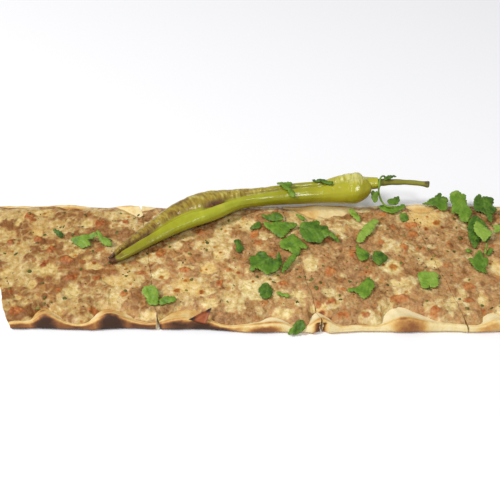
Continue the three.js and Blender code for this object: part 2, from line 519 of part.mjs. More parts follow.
function toppingPiece(leftX, rightX, rounded) {
  const surface = new Surface();
  const front = straightStations(leftX, rightX, false).map(toppingRow);
  const back = straightStations(leftX, rightX, true).map(toppingRow);
  const rows = front.map((row, i) => {
    const middle = row.at(-1).clone().add(back[i].at(-1)).multiplyScalar(0.5);
    return [...row.slice(0, -1), middle, ...back[i].slice(0, -1).toReversed()];
  });
  for (let i = 0; i + 1 < rows.length; i += 1) surface.strip(rows[i], rows[i + 1], true);
  surface.fill(rows[0], sideways, LEFT);
  if (rounded) {
    const end = roundStations().map(toppingRow);
    const last = rows.at(-1);
    const size = front[0].length;
    end[0] = last.slice(0, size);
    end[end.length - 1] = last.slice(size - 1).toReversed();
    for (const row of end) row[size - 1] = end[0][size - 1];
    for (let i = 0; i + 1 < end.length; i += 1) surface.strip(end[i], end[i + 1], false);
    surface.fill(end.map((row) => row[0]), fromAbove, DOWN);
  } else {
    surface.fill(rows.at(-1), sideways, RIGHT);
  }
  return surface.geometry();
}

// A piece of tomato: a low block, a little narrower at its top, sunk into the topping.
function tomato([x, y, length, width, turn]) {
  const top = toppingTop(x, y) + TOMATO_RISE;
  const depth = top - FLOOR - 1.2;
  const block = new THREE.BoxGeometry(length, width, depth);
  const corners = block.getAttribute('position');
  for (let i = 0; i < corners.count; i += 1) {
    if (corners.getZ(i) < 0) continue;
    corners.setX(i, corners.getX(i) * 0.78);
    corners.setY(i, corners.getY(i) * 0.78);
  }
  block.rotateZ(THREE.MathUtils.degToRad(turn));
  block.translate(x, y, top - depth / 2);
  return toSolid(block);
}

// The tomatoes that lie well inside one piece of topping are joined to it, and what would reach
// into the rim is cut away.
function withTomatoes(geometry, bread, leftX, rightX) {
  let solid = toSolid(geometry);
  for (const piece of TOMATOES) {
    const [x, y, length, width] = piece;
    const reach = Math.hypot(length, width) / 2 + 1;
    if (x - reach < leftX(y) || x + reach > rightX(y)) continue;
    solid = solid.add(tomato(piece));
  }
  const clear = solid.subtract(toSolid(bread).translate(0, 0, TOUCH_GAP));
  const bodies = clear.decompose().sort((a, b) => b.volume() - a.volume());
  return toGeometry(bodies[0]);
}

// A tube of changing section along a row of ring centres, closed at both ends.
function sweptSurface(rings) {
  const surface = new Surface();
  for (let i = 0; i + 1 < rings.length; i += 1) surface.strip(rings[i + 1], rings[i], true);
  const middle = (ring) => {
    const sum = new THREE.Vector3();
    for (const point of ring) sum.add(point);
    return sum.divideScalar(ring.length);
  };
  const first = middle(rings[0]);
  const last = middle(rings.at(-1));
  for (let i = 0; i < rings[0].length; i += 1) {
    const k = (i + 1) % rings[0].length;
    surface.triangle(first, rings[0][k], rings[0][i]);
    surface.triangle(last, rings.at(-1)[i], rings.at(-1)[k]);
  }
  return surface.geometry();
}

// The pepper's rings between the named ones, on smooth curves through them.
function pepperRing(t) {
  const spot = t * (PEPPER_RINGS.length - 1);
  const i = Math.min(Math.floor(spot), PEPPER_RINGS.length - 2);
  const u = spot - i;
  const value = (key) => {
    const at = (k) => PEPPER_RINGS[clamp(k, 0, PEPPER_RINGS.length - 1)][key];
    const [a, b, c, d] = [at(i - 1), at(i), at(i + 1), at(i + 2)];
    const curve = (2 * a - 5 * b + 4 * c - d) * u ** 2 + (3 * b - a - 3 * c + d) * u ** 3;
    return 0.5 * (2 * b + (c - a) * u + curve);
  };
  const ring = {};
  for (const key of ['x', 'y', 'half', 'height', 'lift', 'crease']) ring[key] = value(key);
  return ring;
}

function pepperGeometry() {
  const rings = [];
  for (let i = 0; i <= PEPPER_STATIONS; i += 1) {
    const t = i / PEPPER_STATIONS;
    const ring = pepperRing(t);
    const ahead = pepperRing(Math.min(1, t + 0.01));
    const behind = pepperRing(Math.max(0, t - 0.01));
    const along = new THREE.Vector2(ahead.x - behind.x, ahead.y - behind.y).normalize();
    const fade = smooth(t / 0.1) * (1 - smooth((t - 0.62) / 0.25));
    const low = PEPPER_REST + ring.lift;
    const points = [];
    for (let k = 0; k < PEPPER_SIDES; k += 1) {
      const angle = (2 * Math.PI * k) / PEPPER_SIDES;
      const across = Math.cos(angle);
      const up = Math.sign(Math.sin(angle)) * Math.abs(Math.sin(angle)) ** 0.85;
      const groove = up > 0 ? CREASE_DEPTH * fade * Math.exp(-(((across - ring.crease) / 0.22) ** 2)) : 0;
      const height = low + (ring.height / 2) * (1 + up) - groove;
      const side = across * ring.half;
      points.push(new THREE.Vector3(ring.x - along.y * side, ring.y + along.x * side, height));
    }
    rings.push(points);
  }
  return sweptSurface(rings);
}

// A round tube along a smooth curve through points, with a radius that depends on the place.
function tubeAlong(points, radiusAt, sides, steps) {
  const path = new THREE.CatmullRomCurve3(points.map((p) => new THREE.Vector3(...p)));
  const rings = [];
  for (let i = 0; i <= steps; i += 1) {
    const t = i / steps;
    const centre = path.getPoint(t);
    const along = path.getTangent(t);
    const side = new THREE.Vector3(-along.y, along.x, 0).normalize();
    const up = new THREE.Vector3().crossVectors(along, side);
    const ring = [];
    for (let j = 0; j < sides; j += 1) {
      const angle = (2 * Math.PI * j) / sides;
      const point = centre.clone().addScaledVector(side, radiusAt(t) * Math.cos(angle));
      ring.push(point.addScaledVector(up, radiusAt(t) * Math.sin(angle)));
    }
    rings.push(ring);
  }
  return sweptSurface(rings);
}

function stemGeometry() {
  const radiusAt = (t) => {
    const spot = t * (STEM_RADII.length - 1);
    const i = Math.min(Math.floor(spot), STEM_RADII.length - 2);
    return lerp(STEM_RADII[i], STEM_RADII[i + 1], spot - i);
  };
  return tubeAlong(STEM_PATH, radiusAt, STEM_SIDES, 10);
}

function flakeGeometry() {
  const surface = new Surface();
  const [a, b, c] = FLAKE_CORNERS.map((corner) => new THREE.Vector3(...corner));
  const outline = [];
  for (const [from, to, bow] of [[a, b, 0.5], [b, c, -0.8], [c, a, 0.7]]) {
    for (const t of [0, 0.35, 0.7]) {
      const point = from.clone().lerp(to, t);
      point.z += bow * Math.sin(Math.PI * t);
      outline.push(point);
    }
  }
  const middle = a.clone().add(b).add(c).divideScalar(3);
  middle.z -= 0.9;
  const drop = new THREE.Vector3(0, 0, -FLAKE_THICKNESS);
  for (let i = 0; i < outline.length; i += 1) {
    const p = outline[i];
    const q = outline[(i + 1) % outline.length];
    const pLow = p.clone().add(drop);
    const qLow = q.clone().add(drop);
    surface.triangle(middle, p, q);
    surface.triangle(middle.clone().add(drop), qLow, pLow);
    surface.triangle(p, pLow, qLow);
    surface.triangle(p, qLow, q);
  }
  return surface.geometry();
}

// The highest point of bread, topping and tomato under a leaf.
function highestUnder(outline) {
  const inside = (x, y) => {
    let odd = false;
    outline.forEach(([ax, ay], i) => {
      const [bx, by] = outline[(i + 1) % outline.length];
      if ((ay > y) !== (by > y) && x < ax + ((y - ay) / (by - ay)) * (bx - ax)) odd = !odd;
    });
    return odd;
  };
  const covers = (x, y) => [[0, 0], [1, 0], [-1, 0], [0, 1], [0, -1]]
    .some(([dx, dy]) => inside(x + dx, y + dy));
  const xs = outline.map((point) => point[0]);
  const ys = outline.map((point) => point[1]);
  let highest = 0;
  for (let x = Math.min(...xs) - 1; x <= Math.max(...xs) + 1; x += 1) {
    for (let y = Math.min(...ys) - 1; y <= Math.max(...ys) + 1; y += 1) {
      if (!covers(x, y)) continue;
      const rim = rimAt(x, y);
      highest = Math.max(highest, toppingTop(x, y));
      if (HALF_WIDTH - Math.abs(y) < rim.slope + rim.inset) highest = Math.max(highest, rim.height);
      for (const [tx, ty, length, width] of TOMATOES) {
        const near = Math.hypot(x - tx, y - ty) < Math.hypot(length, width) / 2;
        if (near) highest = Math.max(highest, toppingTop(tx, ty) + TOMATO_RISE);
      }
    }
  }
  return highest;
}

// A leaf: its outline filled from corner to corner, with the same triangles below.
function leafGeometry({ outline, rest, lift = 0 }) {
  const surface = new Surface();
  const under = (rest ?? highestUnder(outline)) + LEAF_CLEARANCE + lift;
  const top = outline.map(([x, y, height]) => (
    new THREE.Vector3(x, y, under + LEAF_THICKNESS + height)
  ));
  const bottom = top.map((point) => new THREE.Vector3(point.x, point.y, point.z - LEAF_THICKNESS));
  const clockwise = THREE.ShapeUtils.isClockWise(top.map(fromAbove));
  for (const [i, j, k] of THREE.ShapeUtils.triangulateShape(top.map(fromAbove), [])) {
    const flat = [top[i], top[j], top[k]].map(fromAbove);
    const [b, c] = THREE.ShapeUtils.isClockWise(flat) ? [k, j] : [j, k];
    surface.triangle(top[i], top[b], top[c]);
    surface.triangle(bottom[i], bottom[c], bottom[b]);
  }
  for (let i = 0; i < top.length; i += 1) {
    const k = (i + 1) % top.length;
    const [p, q] = clockwise ? [k, i] : [i, k];
    surface.triangle(top[p], bottom[p], bottom[q]);
    surface.triangle(top[p], bottom[q], top[q]);
  }
  return surface.geometry();
}

function stalkGeometry(points) {
  return tubeAlong(points, () => STALK_RADIUS, STALK_SIDES, points.length * 2);
}

const dough = new THREE.MeshStandardMaterial({ color: 0xe2cc98, roughness: 0.75, metalness: 0 });
const topping = new THREE.MeshStandardMaterial({ color: 0xb4915f, roughness: 0.5, metalness: 0 });
const pepperSkin = new THREE.MeshStandardMaterial({ color: 0x9a9a3a, roughness: 0.3, metalness: 0 });
const stemSkin = new THREE.MeshStandardMaterial({ color: 0x7d8c38, roughness: 0.6, metalness: 0 });
const parsley = new THREE.MeshStandardMaterial({ color: 0x6b8d3b, roughness: 0.55, metalness: 0 });
const burntSkin = new THREE.MeshStandardMaterial({ color: 0x7a3a22, roughness: 0.6, metalness: 0 });

const flatbread = new THREE.Group();
flatbread.position.set(-MIDDLE_X, -MIDDLE_Y, 0);

function addNode(name, geometry, material) {
  const mesh = new THREE.Mesh(geometry, material);
  mesh.name = name;
  flatbread.add(mesh);
}

CUTS.forEach((cut, i) => {
  const next = CUTS[i + 1];
  const leftX = (y) => cutX(cut, y, 1);
  const rightX = next ? (y) => cutX(next, y, -1) : () => ROUND_START;
  const farX = next ? rightX : () => ROUND_START + ROUND_LENGTH - ROUND_EDGE;
  const bread = breadPiece(leftX, rightX, !next);
  const layer = toppingPiece(leftX, rightX, !next);
  addNode(`bread_${i + 1}`, bread, dough);
  addNode(`topping_${i + 1}`, withTomatoes(layer, bread, leftX, farX), topping);
});

addNode('pepper', pepperGeometry(), pepperSkin);
addNode('pepper_stem', stemGeometry(), stemSkin);
addNode('burnt_flake', flakeGeometry(), burntSkin);
LEAVES.forEach((leaf, i) => {
  addNode(`parsley_${String(i + 1).padStart(2, '0')}`, leafGeometry(leaf), parsley);
});
STALKS.forEach((points, i) => addNode(`parsley_stalk_${i + 1}`, stalkGeometry(points), parsley));

export default flatbread;
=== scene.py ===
# Turkish meat flatbread: the looks of the part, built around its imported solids.
# Lengths are millimetres while shapes are worked out, and become metres when a mesh is made.
# X runs along the bread from its cut left end, Y across it from front to back, and Z up.

import math

import bpy
import numpy as np
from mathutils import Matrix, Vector
from mathutils.geometry import delaunay_2d_cdt


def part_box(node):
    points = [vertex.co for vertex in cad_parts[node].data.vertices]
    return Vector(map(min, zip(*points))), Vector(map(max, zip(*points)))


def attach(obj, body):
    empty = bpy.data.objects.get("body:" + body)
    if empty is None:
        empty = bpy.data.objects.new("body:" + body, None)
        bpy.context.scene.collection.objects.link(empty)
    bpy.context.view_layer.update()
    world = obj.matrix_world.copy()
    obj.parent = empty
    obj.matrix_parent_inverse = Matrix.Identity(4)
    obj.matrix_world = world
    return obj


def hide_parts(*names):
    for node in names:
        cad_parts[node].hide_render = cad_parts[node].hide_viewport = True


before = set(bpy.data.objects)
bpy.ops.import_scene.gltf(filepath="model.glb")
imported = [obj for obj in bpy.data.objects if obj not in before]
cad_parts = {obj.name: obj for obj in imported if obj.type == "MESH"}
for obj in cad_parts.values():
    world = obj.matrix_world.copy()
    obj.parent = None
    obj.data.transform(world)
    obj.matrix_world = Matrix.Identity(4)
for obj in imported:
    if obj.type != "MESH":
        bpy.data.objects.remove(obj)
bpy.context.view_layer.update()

MM = 0.001

# The bread, with the same named sizes as the solids.
HALF_WIDTH = 56.0
MIDDLE_X = 22.75
MIDDLE_Y = 3.975
FLOOR = 3.5
RIM_HEIGHT = 4.2
CREST_INSET = 1.8
CREST_SPREAD = 0.75
INNER_SLOPE = 2.6
ROUND_START = 186.0
ROUND_LENGTH = 49.0
ROUND_POWER = 0.8
# How much farther the front edge bows out: by how much, and from where to where along the bread.
FRONT_SWELL = (3.6, -150, 85)
FRONT_EBB = (1.8, 100, 170)
KERF = 0.14
CORNER_REACH = 10.0

# Each cut: where it meets the front edge, its lean, and how far the corners of the piece on its
# left and of the piece on its right are worn away at the front and at the back.
CUTS = [
    {"x": -150.9, "slope": -0.367, "front": (0, 1.6), "back": (0, 3)},
    {"x": -57.0, "slope": -0.2, "front": (1.4, 1), "back": (4.5, 1)},
    {"x": 44.0, "slope": -0.2, "front": (0.5, 0.5), "back": (2, 2.4)},
    {"x": 134.3, "slope": -0.2, "front": (0.6, 0.6), "back": (0.8, 0.6)},
]

# Blisters and folds of the rim: place along the bread, half length, rise, and how much wider the
# slope behind one is.
FRONT_CRESTS = [
    (-146, 9, 1.4, 0), (-125, 8, 5.2, 1), (-86, 11, 6.2, 1), (-36, 16, 4.2, 3), (14, 13, 2.6, 1),
    (45, 8, 5.4, 1.5), (98, 13, 5.9, 5.5), (124, 11, 1.2, 0), (154, 10, 4.2, 2), (205, 13, 3.9, 1),
]
BACK_CRESTS = [
    (-172, 9, 1.9, 0), (-128, 11, 2.0, 0), (-84, 13, 2.0, 4), (-38, 10, 3.2, 1),
    (55, 24, 2.9, 5), (124, 12, 3.0, 1), (176, 9, 2.1, 0), (212, 10, 3.3, 1),
]
# Burnt stretches of the rim: place along the bread, half length, how dark they are, and how far up
# the section they reach.
FRONT_BURNS = [
    (-145, 8, 0.4, 0.52), (-127, 7.5, 0.95, 0.57), (-108, 12, 0.45, 0.52), (-85.5, 8.5, 1.05, 0.59),
    (-66, 11, 0.6, 0.52), (-57, 2.5, 0.8, 0.5), (-44, 9, 0.8, 0.5), (-26, 17, 0.95, 0.47),
    (10, 10, 0.9, 0.46), (43.5, 4, 0.7, 0.56), (99, 10, 0.72, 0.58), (150, 9, 0.4, 0.5),
    (205, 11, 0.55, 0.5),
]
BACK_BURNS = [
    (-172, 9, 0.25, 0.5), (-128, 11, 0.3, 0.5), (-38, 10, 0.4, 0.5), (36, 12, 0.4, 0.5),
    (124, 12, 0.4, 0.5), (176, 9, 0.2, 0.5), (212, 10, 0.5, 0.5),
]
# Places up the rim's section, from 0 under the bread to 1 on the flat dough: where the face in
# front ends, where the crest is, and where the slope behind it begins.
FACE_PART = 0.52
CREST_PART = 0.68
SLOPE_PART = 0.72
# How uneven the rim's skin is, and how deep its fine wrinkles are.
SKIN_RELIEF = 0.9
WRINKLE_RELIEF = 0.3
# The hollow under the arched blister: place, half width, depth and top.
HOLLOW_X = 44.3
HOLLOW_HALF = 3.2
HOLLOW_DEPTH = 4.0
HOLLOW_TOP = 7.0

# The topping: its thickness, and the fields that tell its parts apart in the material.
TOPPING = 3.4
FIELD_NAMES = ["cheese", "gold", "tomato", "grain", "gap", "oil", "fringe", "warm", "brown"]
# Its edge: how far in it reaches its full height, how high it stands at the edge itself, and how
# deep its foot is in the dough.
EDGE_FALL = 7.0
EDGE_RISE = 0.35
EDGE_SUNK = 0.5
# The swells of its top, and the lumps and crumbs of meat: how high, and how far apart.
LUMP = 1.5
LUMP_CELL = 7.5
LARGE_GRAIN = 6.2
GRAIN = 3.3
SMALL_GRAIN = 1.7
# Cheese has melted where a relief is above a level, given for the left and for the right.
MELTED_ABOVE = (0.5, 0.64)
TOMATO_RISE = 0.9
TOMATO_BIT_RISE = 0.35

# Pools of melted cheese: place, half length, half width, rise, and how golden the cheese is.
CHEESE_POOLS = [
    (-148, 46, 9, 5, 0, 0.2), (-115, 34, 5, 6, 0, 0.0), (-110, 50, 6, 4, 0, 0.2),
    (-89, 46, 6, 9, 0, 0.2), (-163, 38, 3, 7, 0, 0.3), (-148, 24, 5, 5, 0, 0.7),
    (-118, 5, 4, 6, 0, 0.2), (-136, -10, 10, 7, 0.2, 0.0), (-105, -8, 8, 4, 0, 0.2),
    (-161, -14, 5, 5, 0, 0.3), (-115, -31, 6, 8, 0, 0.1), (-87, -21, 10, 5, 0, 0.3),
    (-87, -36, 4, 7, 0, 0.2), (-142, -25, 3, 5, 0, 0.3), (-147, -36, 3, 3, 0, 0.5),
    (-71, -2, 6, 5, 0, 0.2), (-59, -15, 6, 6, 0, 0.0), (-41, -27, 12, 7, 0.3, 0.5),
    (-28, -10, 7, 6, 0, 0.8), (-21, 3, 4, 6, 0, 0.3), (-10, 36, 9, 5, 0, 0.3),
    (-3, -28, 5, 9, 0, 0.1), (-25, -41, 6, 6, 0, 0.4), (-81, -19, 4, 5, 0, 0.2),
    (3, -30, 9, 11, 0.3, 0.1), (41, -6, 6, 7, 0.3, 0.0), (30, -34, 6, 4, 0, 0.1),
    (-1, 32, 7, 7, 0, 0.3), (44, 44, 19, 8, 0.4, 0.4), (78, 48, 9, 4, 0, 0.3),
    (42, -43, 6, 3, 0, 0.5), (124, 40, 14, 13, 1.6, 0.9), (94, -8, 8, 9, 0.4, 0.0),
    (163, -11, 6, 9, 0.3, 0.4), (131, -38, 5, 3, 0, 0.4), (122, -5, 6, 6, 0, 0.3),
    (95, -23, 6, 4, 0, 0.1), (147, -37, 3, 7, 0, 0.4), (22, -47, 8, 4, 0, 0.2),
    (-63, -50, 6, 4, 0, 0.4), (196, 22, 12, 9, 0.4, 0.4), (188, -33, 9, 7, 0, 0.3),
    (216, -6, 8, 10, 0.2, 0.2),
]

# Pieces of tomato baked into the topping: place, length, width and turn in degrees.
TOMATOES = [
    (-146, -47, 9, 5, 5), (-157, 41, 6, 7, 60), (-146, 17, 5, 5, 20), (-164, 14, 5, 6, 0),
    (-135, 7, 6, 6, 40), (-122, -3, 9, 6, -15), (-117, -19, 8, 5, 20), (-97, -46, 6, 8, 70),
    (-100, -20, 5, 4, 0), (-106, 33, 7, 7, 30), (-60, 4, 6, 11, -20), (-44, -12, 9, 5, 5),
    (-35, 24, 5, 5, 30), (3, 22, 7, 7, 15), (53, -14, 7, 7, 45), (69, 3, 5, 8, -20),
    (21, -24, 6, 6, 30), (51, -40, 7, 5, 0), (114, 31, 9, 5, 0), (113, 22, 8, 6, 10),
    (105, 9, 6, 6, 50), (141, -27, 9, 6, 10), (95, -36, 11, 5, 5), (116, -46, 7, 6, 30),
    (-20, -24, 6, 5, 70), (183, 8, 8, 6, 20), (205, 24, 7, 6, -30), (172, -34, 8, 5, 40),
    (199, -20, 7, 7, 10), (222, 8, 6, 5, 60),
]
# Smaller bits of tomato, pressed flat into the meat.
TOMATO_BITS = [
    (-154, 37, 5, 4, 0), (-138, -7, 4, 4, 0), (-112, -5, 4, 4, 0), (-125, -10, 5, 3, 0),
    (-123, -30, 4, 4, 0), (-154, -30, 3, 7, 15), (-81, -33, 5, 5, 20), (-102, 7, 5, 5, 0),
    (-88, 35, 5, 5, 0), (-53, 17, 4, 3, 0), (-72, -14, 6, 3, 0), (5, 14, 6, 5, 0),
    (54, 16, 5, 5, 0), (43, -29, 5, 4, 0), (60, -29, 4, 4, 0), (43, -41, 4, 4, 0),
    (9, -41, 5, 4, 0), (72, -50, 5, 4, 0), (116, 8, 6, 4, 0), (101, 29, 5, 6, 0),
    (136, 13, 4, 4, 0), (139, -38, 8, 3, 5), (95, 42, 6, 5, 0), (166, 11, 4, 3, 0),
    (58, -50, 8, 4, 0), (147, -46, 4, 4, 0), (78, -14, 5, 4, 20), (130, -8, 4, 3, 0),
    (-14, -12, 5, 4, 30), (14, 2, 5, 4, 0), (90, 14, 5, 4, 50), (176, 30, 5, 4, 0),
    (212, -26, 5, 4, 20), (190, 38, 4, 4, 0), (180, -12, 5, 4, 60), (230, -14, 4, 3, 0),
]
# Brown blisters on the cheese: place and radius.
BLISTERS = [
    (131, 33, 2.6), (95, -9, 3.2), (89, -7, 1.6), (135, 29, 1.5), (123, 27, 1.8), (128, 45, 1.2),
    (-58, -18, 2.0), (-42, -21, 1.9), (-31, -31, 2.2), (-29, -11, 1.0), (-137, -5, 2.4),
    (-104, -5, 1.6), (-47, -30, 2.4), (-8, -14, 1.6), (2, -22, 1.2), (45, -47, 3.0),
    (118, 47, 1.0), (-20, 5, 1.3), (160, -6, 1.2), (198, 20, 2.0), (190, -30, 1.8),
]

# The pepper: how high it lies, and its length and radius for the patterns of its skin.
PEPPER_REST = 8.9
PEPPER_LENGTH = 200.0
PEPPER_RADIUS = 8.0
CREASE_DEPTH = 3.1
NUB_BULGE = 0.6
# Where the crease is burnt: place along the bread and half length.
CREASE_BURNS = [(-79, 13), (-27, 8)]
# Its rings from its tip to the nub under its stem: place, half width, height, how far its underside
# is lifted, and where the crease runs, from -1 front to 1 back.
PEPPER_RINGS = np.array([
    (-94, -5.4, 2.0, 3.4, 0, 0), (-91, -4.4, 3.4, 3.8, 0, 0), (-84, 1.4, 6.0, 5.7, 0.1, 0.05),
    (-68, 16.5, 9.4, 8.4, 0.2, -0.12), (-50, 31, 12.4, 11.8, 0.3, -0.18),
    (-30, 42.6, 13.7, 13.0, 0.4, -0.33), (-9, 51, 9.1, 11.3, 0.5, -0.26),
    (12, 53.6, 7.8, 11.5, 0.6, 0), (30, 55, 8.2, 13.0, 0.8, 0.1), (52, 56.5, 8.7, 14.2, 1.0, 0.1),
    (68, 57.2, 11.2, 18.3, 1.3, 0.1), (76, 57, 12.0, 20.0, 1.5, 0.1),
    (80.5, 57.2, 9.6, 16.6, 3.8, 0.1), (83, 58.2, 5.2, 9.8, 9.2, 0.1),
    (91, 58.5, 4.0, 7.6, 10.8, 0.1),
])
STEM_PATH = np.array([
    (91.9, 58.5, 23.5), (95, 58.8, 23.9), (105, 59.3, 23.7), (116, 59.3, 23.2), (128, 58.8, 21.9),
])
STEM_RADII = np.array([3.1, 2.6, 2.1, 1.8, 2.1])
FLAKE_CORNERS = np.array([(-38, -55.0, 9.2), (-27.2, -57.2, 7.6), (-23.8, -48.4, 12.8)])
# The flake is thinner than its solid, so it lies this much lower.
FLAKE_SINK = 1.0
FLAKE_THICKNESS = 0.7

